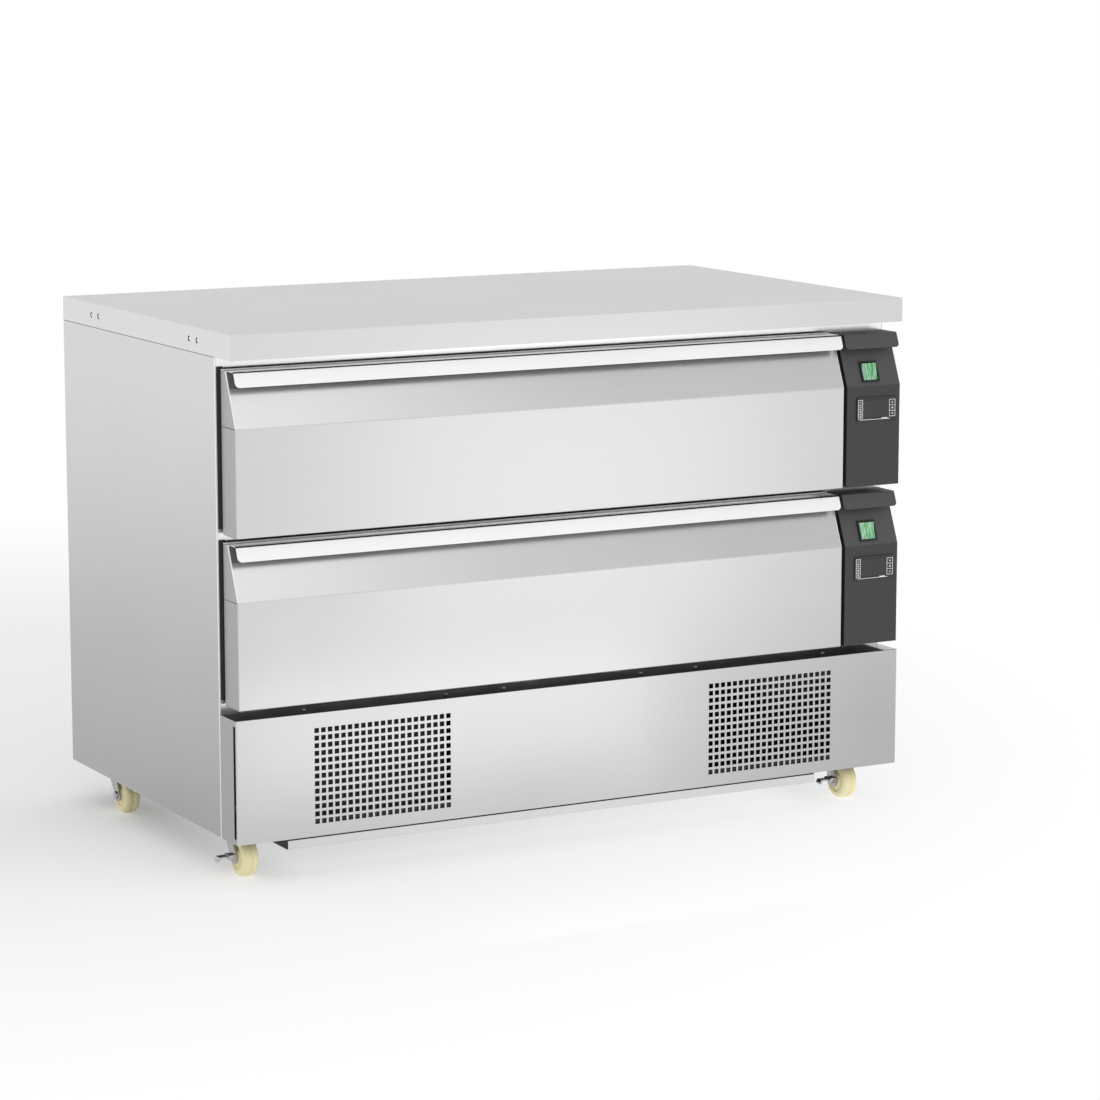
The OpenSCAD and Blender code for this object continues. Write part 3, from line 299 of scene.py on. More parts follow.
def steel(name, colour, roughness, grain, depth=0.5, metal=1.0, foot=1.0, ends=1.0, corner=1.0):
    """Brushed stainless steel, its lines along one axis, with painted shade at its foot and lower right
    corner and painted light on its ends.
    """
    material, tree, shader, place = new_material(name, Metallic=metal)
    stretch = add_node(tree, "ShaderNodeMapping", Vector=place, Scale=grain)
    lines = place_group(tree, brushed_lines, stretch.outputs["Vector"], Depth=depth)
    clouds = place_group(tree, slow_clouds, place, **STEEL_CLOUDS)
    tone = summed(tree, lines.outputs["Tone"], clouds.outputs["Shift"])
    # Painted shade and light: darker toward the foot, another tone on faces that face along X, darker
    # toward the lower right.
    shades = []
    if foot != 1.0:
        shades.append(map_range(tree, part(tree, place, "Z"), *FOOT_SHADE_SPAN, foot, 1.0))
    if ends != 1.0:
        sideways = maths(tree, "ABSOLUTE", facing_part(tree, "X"))
        shades.append(map_range(tree, sideways, *END_FACING, 1.0, ends))
    if corner != 1.0:
        across = map_range(tree, part(tree, place, "X"), *CORNER_X, 0.0, 1.0)
        down = map_range(tree, part(tree, place, "Z"), *CORNER_Z, 0.0, 1.0)
        shades.append(map_range(tree, maths(tree, "MULTIPLY", across, down), 0.0, 1.0, 1.0, corner))
    for shade in shades:
        tone = maths(tree, "MULTIPLY", tone, shade)
    gloss = summed(tree, lines.outputs["Gloss"], clouds.outputs["Shift"], roughness)
    feed_shader(tree, shader, tinted(tree, colour, tone), gloss, lines.outputs["Height"], *STEEL_BUMP)
    return material


# Front and plinth steel are painted darker toward the lower right corner: painted shade.
front_steel = steel("front_steel", (0.62, 0.62, 0.617), 0.30, GRAIN_X, 0.4, corner=0.78)
plinth_steel = steel("plinth_steel", (0.585, 0.585, 0.582), 0.30, GRAIN_X, 0.4, corner=0.78)
# A darker copy of the steel: painted shade on the drawer fronts' ends and the plinth's folded ends.
painted_shade_end_steel = steel("painted_shade_end_steel", grey(0.44), 0.40, GRAIN_Z)
frame_steel = steel("frame_steel", grey(0.90), 0.22, GRAIN_X, 0.2)
# A bright copy of the steel: painted highlight on the drawer fronts' folds, up the left side panel's front
# edge and on the worktop plugs' domes.
painted_highlight_steel = steel("painted_highlight_steel", grey(0.97), 0.30, GRAIN_Z, 0.2, metal=0.3)
# The side steel is painted darker toward its foot: painted shade, a painted reflection of a darker floor.
side_steel = steel("side_steel", (0.65, 0.65, 0.645), 0.28, GRAIN_Y, 0.05, foot=0.70)
# The worktop's ends are painted lighter: painted highlight.
top_steel = steel("top_steel", (0.66, 0.66, 0.656), 0.36, GRAIN_X, 0.3, ends=1.09)
lip_steel = steel("lip_steel", grey(0.98), 0.48, GRAIN_X, 0.3, metal=0.5)
tray_steel = steel("tray_steel", grey(0.70), 0.40, GRAIN_X, 0.3)
inner_steel = steel("inner_steel", (0.56, 0.56, 0.565), 0.42, GRAIN_Y)
rail_steel = steel("rail_steel", (0.60, 0.60, 0.61), 0.28, GRAIN_Y, 0.2)
back_steel = steel("back_steel", grey(0.60), 0.42, GRAIN_Z)
print("steels", [m.name for m in bpy.data.materials if m.name.endswith("_steel")])

# %% Paint, plastic and rubber
COAT_CLOUDS = {"Size": 9.0, "Amount": 0.12}
COAT_HEIGHT = 0.0002
PAINTED_TOP_LIGHT_FACING = (0.1, 0.4)


def coated(name, colour, roughness, size, strength, painted_top_light=1.0, **constants):
    """Paint, plastic or rubber with a pebbled skin and cloudy gloss, painted lighter where it faces up as
    painted light.
    """
    material, tree, shader, place = new_material(name, **constants)
    skin = place_group(tree, pebbled_skin, place, Size=size)
    shift = place_group(tree, slow_clouds, place, **COAT_CLOUDS).outputs["Shift"]
    tone = summed(tree, skin.outputs["Tone"], shift)
    # Painted light from above: faces that face up are painted lighter.
    if painted_top_light != 1.0:
        upward = map_range(tree, facing_part(tree, "Z"), *PAINTED_TOP_LIGHT_FACING, 1.0, painted_top_light)
        tone = maths(tree, "MULTIPLY", tone, upward)
    gloss = summed(tree, shift, roughness)
    height = skin.outputs["Height"]
    feed_shader(tree, shader, tinted(tree, colour, tone), gloss, height, strength, COAT_HEIGHT)
    return material


# The panels' upward faces are painted lighter: painted light from above.
panel_paint = coated("panel_paint", (0.033, 0.033, 0.034), 0.55, 1300.0, 0.12, painted_top_light=2.1)
# Black paint of the plinth's cap, also used as painted shade on the base plate, inside the plinth, on the
# tray's ends and behind the grilles.
cap_paint = coated("cap_paint", grey(0.012), 0.55, 1300.0, 0.10)
# Rubber of the drawer seals, also used as painted shade in the fronts' seams, along the handles' bends,
# round the plugs and under the worktop.
seal_rubber = coated("seal_rubber", grey(0.012), 0.75, 1800.0, 0.15)
gasket_rubber = coated("gasket_rubber", grey(0.034), 0.65, 1800.0, 0.15)
# Grey of the painted shadow behind the handles' lips.
lip_shadow_grey = coated("lip_shadow_grey", grey(0.11), 0.65, 1800.0, 0.15)
instrument_black = coated("instrument_black", (0.018, 0.018, 0.019), 0.40, 2200.0, 0.06)
display_glass = coated("display_glass", (0.006, 0.006, 0.007), 0.14, 300.0, 0.01, Coat_Weight=0.5)
print_white = coated("print_white", (0.85, 0.85, 0.86), 0.60, 2500.0, 0.05)
switch_black = coated("switch_black", grey(0.006), 0.35, 2200.0, 0.04)
screw_nickel = coated("screw_nickel", (0.80, 0.80, 0.79), 0.30, 900.0, 0.03, Metallic=0.3)
key_grey = coated("key_grey", (0.040, 0.040, 0.042), 0.50, 2200.0, 0.06)
wheel_nylon = coated(
    "wheel_nylon", (0.94, 0.85, 0.52), 0.36, 2500.0, 0.02,
    Subsurface_Weight=0.15, Subsurface_Radius=(0.006, 0.004, 0.002)
)
inner_moulding = coated("inner_moulding", (0.62, 0.62, 0.63), 0.45, 700.0, 0.05)
foam = coated("foam", (0.75, 0.62, 0.30), 0.90, 400.0, 0.5)
compressor_black = coated("compressor_black", grey(0.014), 0.42, 500.0, 0.10)
coil_black = coated("coil_black", (0.010, 0.010, 0.011), 0.55, 900.0, 0.10)
fan_black = coated("fan_black", grey(0.02), 0.50, 900.0, 0.08)
print("coatings made")

# %% Plated and bare metals
PLATE_CLOUDS = {"Size": 60.0, "Amount": 0.25}
PLATE_GRAIN = 1500.0
PLATE_BUMP = (0.04, 0.0001)


def plated(name, colour, roughness):
    """Zinc plate, aluminium or copper: a metal with soft clouds in colour and gloss."""
    material, tree, shader, place = new_material(name, Metallic=1.0)
    shift = place_group(tree, slow_clouds, place, **PLATE_CLOUDS).outputs["Shift"]
    skin = place_group(tree, pebbled_skin, place, Size=PLATE_GRAIN)
    tone = summed(tree, shift, skin.outputs["Tone"])
    gloss = summed(tree, shift, roughness)
    feed_shader(tree, shader, tinted(tree, colour, tone), gloss, skin.outputs["Height"], *PLATE_BUMP)
    return material


bright_zinc = plated("bright_zinc", (0.72, 0.72, 0.71), 0.25)
dull_zinc = plated("dull_zinc", (0.48, 0.48, 0.49), 0.32)
coil_aluminium = plated("coil_aluminium", (0.62, 0.62, 0.63), 0.40)
pipe_copper = plated("pipe_copper", (0.62, 0.33, 0.19), 0.32)
print("metals made")

# %% [markdown]
# The switch's rocker is clear green plastic over a lamp. Pale streaks painted into its colour stand for
# the light that comes through it.

# %% Green rocker
STREAK_STRETCH = (420.0, 60.0, 60.0)
STREAK_STOPS = ((0.36, (0.05, 0.40, 0.13, 1)), (0.64, (0.55, 0.90, 0.62, 1)))
STREAK_GLOSS = (0.12, 0.3)
STREAK_BUMP = (0.2, 0.0003)


def make_rocker_green():
    """Translucent green with pale streaks up the rocker, painted light."""
    material, tree, shader, place = new_material(
        "rocker_green", Transmission_Weight=0.25, IOR=1.49, Coat_Weight=0.6, Coat_Roughness=0.08
    )
    stretch = add_node(tree, "ShaderNodeMapping", Vector=place, Scale=STREAK_STRETCH)
    noise = add_node(tree, "ShaderNodeTexNoise", Vector=stretch.outputs["Vector"], Scale=1.0, Detail=2.0)
    streaks = noise.outputs["Fac"]
    ramp = add_node(tree, "ShaderNodeValToRGB", Fac=streaks)
    set_ramp(ramp, *STREAK_STOPS)
    gloss = map_range(tree, streaks, *NOISE_SPAN, *STREAK_GLOSS)
    feed_shader(tree, shader, ramp.outputs["Color"], gloss, streaks, *STREAK_BUMP)
    return material


rocker_green = make_rocker_green()
print("made", rocker_green.name)

# %% [markdown]
# ## The solids that stay
# Most solids already have the right shape. They get a finish, and a small bevel on their edges, because
# real sheet and moulded edges are never knife sharp and a rounded edge catches the light. The solids
# arrive as loose triangles, so they are welded and their flat faces are joined first. Sheet metal
# keeps flat shading, which holds its faces true round every hole, and round solids are smoothed.

# %% Dress the solids
BEVEL_ANGLE = radians(15)
FLAT_ANGLE = radians(0.5)
WELD_REACH = 0.00001
NO_EDGE = 0.0
HAIR_EDGE = 0.0001
TRIM_EDGE = 0.0002
FINE_EDGE = 0.0003
EDGE = 0.0004
SHEET_EDGE = 0.0005
PANEL_EDGE = 0.0006
ROUND_EDGE = 0.0010
SEAL_EDGE = 0.0020


def dress(material, width, *names, segments=2, smooth=False):
    """Gives CAD solids a finish and softened edges, without touching their own meshes."""
    for name in names:
        solid = frame["nodes"][name]
        for slot in solid.material_slots:
            slot.material = material
        if not width:
            continue
        weld = solid.modifiers.new("weld", "WELD")
        weld.merge_threshold = WELD_REACH
        flatten = solid.modifiers.new("join_flats", "DECIMATE")
        flatten.decimate_type = "DISSOLVE"
        flatten.angle_limit = FLAT_ANGLE
        bevel = solid.modifiers.new("soft_edges", "BEVEL")
        bevel.width = width
        bevel.segments = segments
        bevel.limit_method = "ANGLE"
        bevel.angle_limit = BEVEL_ANGLE
        bevel.harden_normals = smooth
        mesh = solid.data
        mesh.normals_split_custom_set([(0.0, 0.0, 0.0)] * len(mesh.loops))
        for polygon in mesh.polygons:
            polygon.use_smooth = smooth


LEVELS = ("upper", "lower")
CASTORS = ("front_left", "front_right", "rear_left", "rear_right")
KEYS = (1, 2, 3)

dress(top_steel, SHEET_EDGE, "worktop")
dress(side_steel, SHEET_EDGE, "left_side_panel", "right_side_panel")
dress(back_steel, FINE_EDGE, "back_panel", "cell_casing")
dress(frame_steel, EDGE, "front_frame")
dress(inner_steel, FINE_EDGE, "upper_liner", "lower_liner")
dress(tray_steel, EDGE, "undertray")
dress(rail_steel, EDGE, "fixed_rails")
dress(foam, NO_EDGE, "cell_insulation")
# The base plate is black as painted shade, so that what shows through the grilles is dark.
dress(cap_paint, EDGE, "plinth_cap", "base_plate")
dress(panel_paint, PANEL_EDGE, "control_panels")
dress(instrument_black, EDGE, "thermostats")
dress(switch_black, EDGE, "switch_bodies")
dress(switch_black, EDGE, "cable_gland", smooth=True)
dress(bright_zinc, EDGE, "castor_stems", smooth=True)
dress(dull_zinc, EDGE, "front_left_brake_pedal", "front_right_brake_pedal")
dress(compressor_black, ROUND_EDGE, "compressors", smooth=True)
dress(coil_black, NO_EDGE, "condenser_coil")
dress(coil_aluminium, NO_EDGE, "evaporator_coils")
dress(fan_black, FINE_EDGE, "condenser_fan_frame", "evaporator_fan_frames", "condenser_fan")
dress(pipe_copper, NO_EDGE, "refrigerant_pipes")
for level in LEVELS:
    dress(rail_steel, EDGE, f"{level}_drawer_rails", f"{level}_middle_rails")
    dress(inner_steel, EDGE, f"{level}_drawer_box")
    dress(inner_moulding, ROUND_EDGE, f"{level}_drawer_inner")
    dress(seal_rubber, SEAL_EDGE, f"{level}_drawer_seal", segments=3, smooth=True)
    dress(fan_black, FINE_EDGE, f"{level}_evaporator_fan")
for castor in CASTORS:
    dress(dull_zinc, SHEET_EDGE, f"{castor}_fork", smooth=True)
print("dressed the solids")

# %% [markdown]
# ## Helpers for new pieces
# The new pieces are built as BMesh shapes. Three ways of building cover most of them: a Y-Z outline
# drawn along X, an outline turned about the X axis like on a lathe, and a row of points swept into a
# sheet. Each piece rides on the body that carries it, so that it moves with the joints.

# %% Piece helpers
SHARP_ANGLE = radians(38)
SOFT_ANGLE = radians(40)
EDGE_SEGMENTS = 2


def make_piece(name, bm, material, body, stands_for=None, edge=NO_EDGE):
    """Object from a BMesh, on its body, in place of a CAD solid and with softened edges where asked."""
    mesh = bpy.data.meshes.new(name)
    bm.to_mesh(mesh)
    bm.free()
    for polygon in mesh.polygons:
        polygon.use_smooth = True
    mesh.set_sharp_from_angle(angle=SHARP_ANGLE)
    mesh.materials.append(material)
    piece = bpy.data.objects.new(name, mesh)
    bpy.context.scene.collection.objects.link(piece)
    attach(piece, body)
    if stands_for:
        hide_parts(stands_for)
    if edge:
        soften(piece, edge)
    return piece


def thicken(piece, thickness):
    """Gives an open sheet its thickness, inwards from its outer face, with sharp rims."""
    bm = bmesh.new()
    bm.from_mesh(piece.data)
    for edge in bm.edges:
        if edge.is_boundary:
            edge.smooth = False
    bm.to_mesh(piece.data)
    bm.free()
    sheet = piece.modifiers.new("sheet", "SOLIDIFY")
    sheet.thickness = thickness
    sheet.offset = -1.0
    sheet.use_even_offset = True


def soften(piece, width, angle=SOFT_ANGLE):
    """Bevels a piece's sharp edges."""
    bevel = piece.modifiers.new("soft_edges", "BEVEL")
    bevel.width = width
    bevel.segments = EDGE_SEGMENTS
    bevel.limit_method = "ANGLE"
    bevel.angle_limit = angle
    bevel.harden_normals = True


def weigh_normals(piece):
    """Lets large flat faces decide the shading of the small rounded ones beside them."""
    weighted = piece.modifiers.new("flat_faces", "WEIGHTED_NORMAL")
    weighted.keep_sharp = True


print("piece helpers ready")

# %% Shape helpers
MERGE_REACH = 0.000001


def prism(outline, x0, x1, bm=None):
    """Closed block: a Y-Z outline drawn along X."""
    bm = bm or bmesh.new()
    ends = [[bm.verts.new((x, y, z)) for y, z in outline] for x in (x0, x1)]
    faces = [bm.faces.new(ends[0]), bm.faces.new(reversed(ends[1]))]
    for i in range(len(outline)):
        j = (i + 1) % len(outline)
        faces.append(bm.faces.new((ends[0][j], ends[0][i], ends[1][i], ends[1][j])))
    bmesh.ops.recalc_face_normals(bm, faces=faces)
    return bm


def lathe(profile, segments=48, bm=None, place=Matrix()):
    """Shape turned about the X axis from an outline of (x, radius), closed on itself or on the axis."""
    bm = bm or bmesh.new()
    rings = []
    for k in range(segments):
        turn = 2 * pi * k / segments
        rings.append([bm.verts.new(place @ Vector((x, r * cos(turn), r * sin(turn)))) for x, r in profile])
    faces = []
    for k in range(segments):
        ring, following = rings[k], rings[(k + 1) % segments]
        for i in range(len(profile)):
            j = (i + 1) % len(profile)
            if profile[i][1] or profile[j][1]:
                faces.append(bm.faces.new((ring[i], ring[j], following[j], following[i])))
    bmesh.ops.remove_doubles(bm, verts=[v for ring in rings for v in ring], dist=MERGE_REACH)
    bmesh.ops.recalc_face_normals(bm, faces=[f for f in faces if f.is_valid])
    return bm


def slab(bm, low, high):
    """Adds a box between two corners."""
    size = Vector(high) - Vector(low)
    middle = (Vector(high) + Vector(low)) / 2
    bmesh.ops.create_cube(bm, size=1.0, matrix=Matrix.Translation(middle) @ Matrix.Diagonal((*size, 1.0)))
    return bm


def round_edges(bm, edges, radius, segments):
    """Rounds some of a BMesh's edges."""
    bmesh.ops.bevel(bm, geom=edges, offset=radius, segments=segments, profile=0.5, affect="EDGES")


def arc(centre, radius, start, end, steps):
    """Points on an arc between two angles in degrees."""
    angles = [radians(start + (end - start) * k / steps) for k in range(steps + 1)]
    return [(centre[0] + radius * cos(a), centre[1] + radius * sin(a)) for a in angles]


def facing(direction, point):
    """Matrix that turns the X axis to a direction, at a point."""
    turn = Vector((1, 0, 0)).rotation_difference(Vector(direction))
    return Matrix.Translation(point) @ turn.to_matrix().to_4x4()


print("shape helpers ready")

# %% [markdown]
# ## Drawer fronts
# A drawer front is one steel sheet: a flange along the bottom, the upright face, a knee, a face that
# leans back, and folded ends that meet in a seam at the knee's height. A block with the front's outline
# gets its bends from a bevel, loses its back and then gets the sheet's thickness, so the fold runs round
# every corner in one piece. The seam is a narrow groove pressed into each end.

# %% Drawer fronts
KNEE_HEIGHT = 0.170
LEAN = 0.036
SHEET = 0.0012
BEND_RADIUS = 0.0018
SEAM_WIDTH = 0.0010
SEAM_DEPTH = 0.0008
SEAM_WALL = 0.00005
FOLD_MARGIN = 0.001
BEND_SEGMENTS = 3
FLAT = 0.99
END_FACE = 0.9
FOLD_FACE = 0.1


def end_faces(bm, x):
    """Flat faces of an end plate at X."""
    flat = [f for f in bm.faces if abs(f.normal.x) > FLAT]
    return [f for f in flat if abs(f.calc_center_median().x - x) < WELD_REACH]


def press_seam(bm, x, z):
    """Presses a narrow level groove into an end plate."""
    for cut_z in (z - SEAM_WIDTH / 2, z + SEAM_WIDTH / 2):
        faces = end_faces(bm, x)
        edges = {e for f in faces for e in f.edges}
        verts = {v for f in faces for v in f.verts}
        geom = [*faces, *edges, *verts]
        bmesh.ops.bisect_plane(bm, geom=geom, plane_co=(0, 0, cut_z), plane_no=(0, 0, 1))
    strip = [f for f in end_faces(bm, x) if abs(f.calc_center_median().z - z) < SEAM_WIDTH / 2]
    bmesh.ops.inset_individual(bm, faces=strip, thickness=SEAM_WALL, depth=-SEAM_DEPTH)


def make_front(level):
    """Folded sheet of one drawer front, open at the back."""
    low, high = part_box(f"{level}_drawer_front")
    outline = [(high.y, low.z), (low.y, low.z), (low.y, low.z + KNEE_HEIGHT)]
    outline += [(low.y + LEAN, high.z), (high.y, high.z)]
    bm = prism(outline, low.x, high.x)
    top_bend = low.y + LEAN
    folds = [e for e in bm.edges if any(v.co.y < top_bend - FOLD_MARGIN for v in e.verts)]
    round_edges(bm, folds, BEND_RADIUS, BEND_SEGMENTS)
    bm.normal_update()
    bmesh.ops.delete(bm, geom=[f for f in bm.faces if f.normal.y > FLAT], context="FACES_ONLY")
    for x in (low.x, high.x):
        press_seam(bm, x, low.z + KNEE_HEIGHT)
    piece = make_piece(
        f"{level}_front_sheet", bm, front_steel, f"{level}_drawer", f"{level}_drawer_front"
    )
    for material in (painted_shade_end_steel, painted_highlight_steel, seal_rubber):
        piece.data.materials.append(material)
    # End plates take the darker end steel as painted shade, the fold's faces above the knee the bright
    # steel as painted highlight, and the seam's floor black as painted shade.
    for polygon in piece.data.polygons:
        sideways = abs(polygon.normal.x)
        if sideways > END_FACE:
            inset = min(polygon.center.x - low.x, high.x - polygon.center.x)
            polygon.material_index = 3 if inset > SEAM_DEPTH / 2 else 1
        elif sideways > FOLD_FACE and polygon.center.z > low.z + KNEE_HEIGHT + BEND_RADIUS:
            polygon.material_index = 2
    thicken(piece, SHEET)
    weigh_normals(piece)
    return piece


fronts = [make_front(level) for level in LEVELS]
print("fronts", [p.name for p in fronts])

# %% [markdown]
# ## Handle strips
# Over the leaning face hangs a bright strip that the fingers go behind: a level flange that turns down
# into a lip with rounded lower corners. It is a sheet swept along its bend, one row of points at a time,
# and the rows draw in at the corners. Its bend is black, painted shade along the crease. Behind the lip
# a dark strip on the leaning face is a painted shadow of the lip, and a narrow strip along the front's
# top holds the seal.

# %% Handle strips
FLANGE_DEPTH = 0.0228
LIP_LENGTH = 0.025
LIP_CORNER = 0.0075
LIP_START = 0.0040
LIP_BEND = 0.0030
BEND_STEPS = 6
CORNER_STEPS = 8
STRIP_ANGLE = radians(50)
STRIP_LIFT = 0.0002
front_low, front_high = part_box("upper_drawer_front")
slope_angle = atan2(LEAN, front_high.z - front_low.z - KNEE_HEIGHT)


def strip_rows(back, top):
    """Rows (y, z, inset) from the back of the flange, round the bend and down the lip."""
    down = Vector((-sin(slope_angle), -cos(slope_angle)))
    corner = Vector((back - FLANGE_DEPTH, top))
    set_back = LIP_BEND * tan((pi / 2 - slope_angle) / 2)
    centre = corner + Vector((set_back, -LIP_BEND))
    bend = arc(centre, LIP_BEND, 90, 180 - degrees(slope_angle), BEND_STEPS)
    rows = [(back + SHEET, top, 0.0)] + [(y, z, 0.0) for y, z in bend]
    for k in range(CORNER_STEPS + 1):
        turn = k * pi / 2 / CORNER_STEPS
        point = corner + down * (LIP_LENGTH - LIP_CORNER + LIP_CORNER * sin(turn))
        rows.append((point.x, point.y, LIP_CORNER * (1 - cos(turn))))
    return rows


def make_strip(level):
    """Bent strip of one drawer's handle."""
    low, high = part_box(f"{level}_drawer_front")
    bm = bmesh.new()
    rows = strip_rows(low.y + LEAN, high.z + STRIP_LIFT)
    start = low.x + LIP_START
    pairs = [[bm.verts.new((x, y, z)) for x in (start + inset, high.x - inset)] for y, z, inset in rows]
    for near, far in zip(pairs, pairs[1:]):
        bm.faces.new((near[0], far[0], far[1], near[1]))
    piece = make_piece(f"{level}_handle_strip", bm, lip_steel, f"{level}_drawer")
    piece.data.materials.append(seal_rubber)
    piece.data.materials.append(frame_steel)
    # The flange's top carries the frame steel, and the bend's faces carry black as painted shade along the
    # crease.
    piece.data.polygons[0].material_index = 2
    for polygon in piece.data.polygons[1:BEND_STEPS + 1]:
        polygon.material_index = 1
    thicken(piece, SHEET)
    soften(piece, FINE_EDGE, STRIP_ANGLE)
    return piece


strips = [make_strip(level) for level in LEVELS]
print("strips", [p.name for p in strips])

# %% Lip shadows
LIP_SHADOW_SPAN = (0.0015, 0.0295)
LIP_SHADOW_THICK = 0.0004
LIP_SHADOW_ENDS = (0.0025, 0.015)


def make_lip_shadow(level):
    """Dark strip on the leaning face behind the lip: a painted shadow of the lip."""
    low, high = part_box(f"{level}_drawer_front")
    top = Vector((low.y + LEAN, high.z))
    down = Vector((-sin(slope_angle), -cos(slope_angle)))
    out = Vector((-cos(slope_angle), sin(slope_angle))) * LIP_SHADOW_THICK
    near, far = (top + down * reach for reach in LIP_SHADOW_SPAN)
    bm = prism([near, far, far + out, near + out], low.x + LIP_SHADOW_ENDS[0], high.x - LIP_SHADOW_ENDS[1])
    name = f"{level}_lip_shadow_strip"
    return make_piece(name, bm, lip_shadow_grey, f"{level}_drawer", edge=HAIR_EDGE)


lip_shadows = [make_lip_shadow(level) for level in LEVELS]
print("lip_shadows", [p.name for p in lip_shadows])

# %% Seal carriers
CARRIER_RISE = 0.0016
CARRIER_THICK = 0.0005


def make_carrier(level):
    """Pale upright strip along the back of a drawer front's top, which holds the seal."""
    low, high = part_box(f"{level}_drawer_front")
    foot = (low.x, high.y - CARRIER_THICK, high.z)
    bm = slab(bmesh.new(), foot, (high.x, high.y, high.z + CARRIER_RISE))
    name = f"{level}_seal_carrier"
    return make_piece(name, bm, lip_steel, f"{level}_drawer", edge=HAIR_EDGE)


carriers = [make_carrier(level) for level in LEVELS]
print("carriers", [p.name for p in carriers])

# %% [markdown]
# ## Plinth
# The plinth is one sheet too: a wide face with two punched grilles, folded back at both ends, with a
# slot in each end. It is laid out as a grid whose lines run along the edges of the holes. The cells in
# the holes are left out, and the grid's columns follow the folds, so the sheet is clean quads. Its
# inside and its cut edges are black as painted shade, which is why the holes look so dark, and its
# folded ends carry the darker end steel as painted shade.

# %% Plinth
GRILLE_X = 0.361
GRILLE_RISE = 0.097
GRILLE_COLUMNS = 21
GRILLE_ROWS = 13
GRILLE_PITCH = (0.0116, 0.0122)
GRILLE_HOLE = 0.0080
PLINTH_SHEET = 0.0010
PLINTH_FOLD = 0.0022
SLOT_INSET = 0.0025
SLOT_WIDTH = 0.008
SLOT_SPAN = (0.009, 0.189)
FOLD_STEPS = 5


def hole_edges(middle, count, pitch):
    """Pairs of edges of a row of holes."""
    centres = [middle + (k - (count - 1) / 2) * pitch for k in range(count)]
    return [(c - GRILLE_HOLE / 2, c + GRILLE_HOLE / 2) for c in centres]


def plinth_columns(low, high):
    """Columns (x, y, kind) along the sheet: kind says what starts at that column."""
    slot = [(high.y, ""), (low.y + SLOT_INSET + SLOT_WIDTH, "slot"), (low.y + SLOT_INSET, "")]
    left_fold = arc((low.x + PLINTH_FOLD, low.y + PLINTH_FOLD), PLINTH_FOLD, 180, 270, FOLD_STEPS)
    columns = [(low.x, y, kind) for y, kind in slot] + [(x, y, "") for x, y in left_fold]
    for side in (-1, 1):
        for x0, x1 in hole_edges(side * GRILLE_X, GRILLE_COLUMNS, GRILLE_PITCH[0]):
            columns += [(x0, low.y, "hole"), (x1, low.y, "")]
    right_fold = arc((high.x - PLINTH_FOLD, low.y + PLINTH_FOLD), PLINTH_FOLD, 270, 360, FOLD_STEPS)
    columns += [(x, y, "") for x, y in right_fold]
    columns += [(high.x, low.y + SLOT_INSET, "slot"), (high.x, low.y + SLOT_INSET + SLOT_WIDTH, "")]
    return columns + [(high.x, high.y, "")]


def plinth_rows(low, high):
    """Rows (z, kinds) up the sheet: kinds says which openings a row's cells belong to."""
    rows = [(low.z, ""), (low.z + SLOT_SPAN[0], "slot")]
    for z0, z1 in hole_edges(low.z + GRILLE_RISE, GRILLE_ROWS, GRILLE_PITCH[1]):
        rows += [(z0, "hole slot"), (z1, "slot")]
    return rows + [(low.z + SLOT_SPAN[1], ""), (high.z, "")]


def make_plinth():
    """Folded plinth sheet with its grilles and slots."""
    low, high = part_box("plinth_panel")
    columns = plinth_columns(low, high)
    rows = plinth_rows(low, high)
    bm = bmesh.new()
    grid = [[bm.verts.new((x, y, z)) for z, _ in rows] for x, y, _ in columns]
    for i in range(len(columns) - 1):
        for j in range(len(rows) - 1):
            kind = columns[i][2]
            if kind and kind in rows[j][1]:
                continue
            bm.faces.new((grid[i][j], grid[i + 1][j], grid[i + 1][j + 1], grid[i][j + 1]))
    bmesh.ops.delete(bm, geom=[v for v in bm.verts if not v.link_faces], context="VERTS")
    piece = make_piece("plinth_sheet", bm, plinth_steel, "cabinet", "plinth_panel")
    # The inside and the cut edges take black as painted shade, and the folded ends the darker end steel as
    # painted shade.
    for material in (cap_paint, painted_shade_end_steel, cap_paint):
        piece.data.materials.append(material)
    for polygon in piece.data.polygons:
        if abs(polygon.normal.x) > END_FACE:
            polygon.material_index = 2
    thicken(piece, PLINTH_SHEET)
    piece.modifiers["sheet"].material_offset = 1
    piece.modifiers["sheet"].material_offset_rim = 1
    weigh_normals(piece)
    return piece


plinth = make_plinth()
print("plinth has", len(plinth.data.polygons), "faces")

# %% [markdown]
# ## Cap and its screws
# A black plate closes the plinth's top. Small pan-head screws hold it, and a strip of bare steel covers
# its right end. A screw's head is a lathe shape: a low dome with a dished recess.

# %% Cap screws
SCREW_HEAD = 0.0032
SCREW_HEIGHT = 0.0018
SCREW_PLACES = (0.128, 0.233, 0.484)
SCREW_SEGMENTS = 20
PAN_HEAD = ((0.0, 0.0), (0.0, 1.0), (0.45, 1.0), (0.85, 0.82), (1.0, 0.5), (0.6, 0.3), (0.5, 0.0))


def pan_head(bm, place, radius, height):
    """Adds a pan-head screw's head: a low dome with a dished recess, its foot at the place's origin."""
    return lathe([(x * height, r * radius) for x, r in PAN_HEAD], SCREW_SEGMENTS, bm, place)


def make_cap_screws():
    """Heads of the screws along the plinth's cap."""
    low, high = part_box("plinth_screws")
    y = (low.y + high.y) / 2
    z = high.z - SCREW_HEIGHT
    bm = bmesh.new()
    for x in SCREW_PLACES:
        for side in (-1, 1):
            pan_head(bm, facing((0, 0, 1), (side * x, y, z)), SCREW_HEAD, SCREW_HEIGHT)
    return make_piece("cap_screw_heads", bm, screw_nickel, "cabinet", "plinth_screws")


cap_screws = make_cap_screws()
print("made", cap_screws.name)

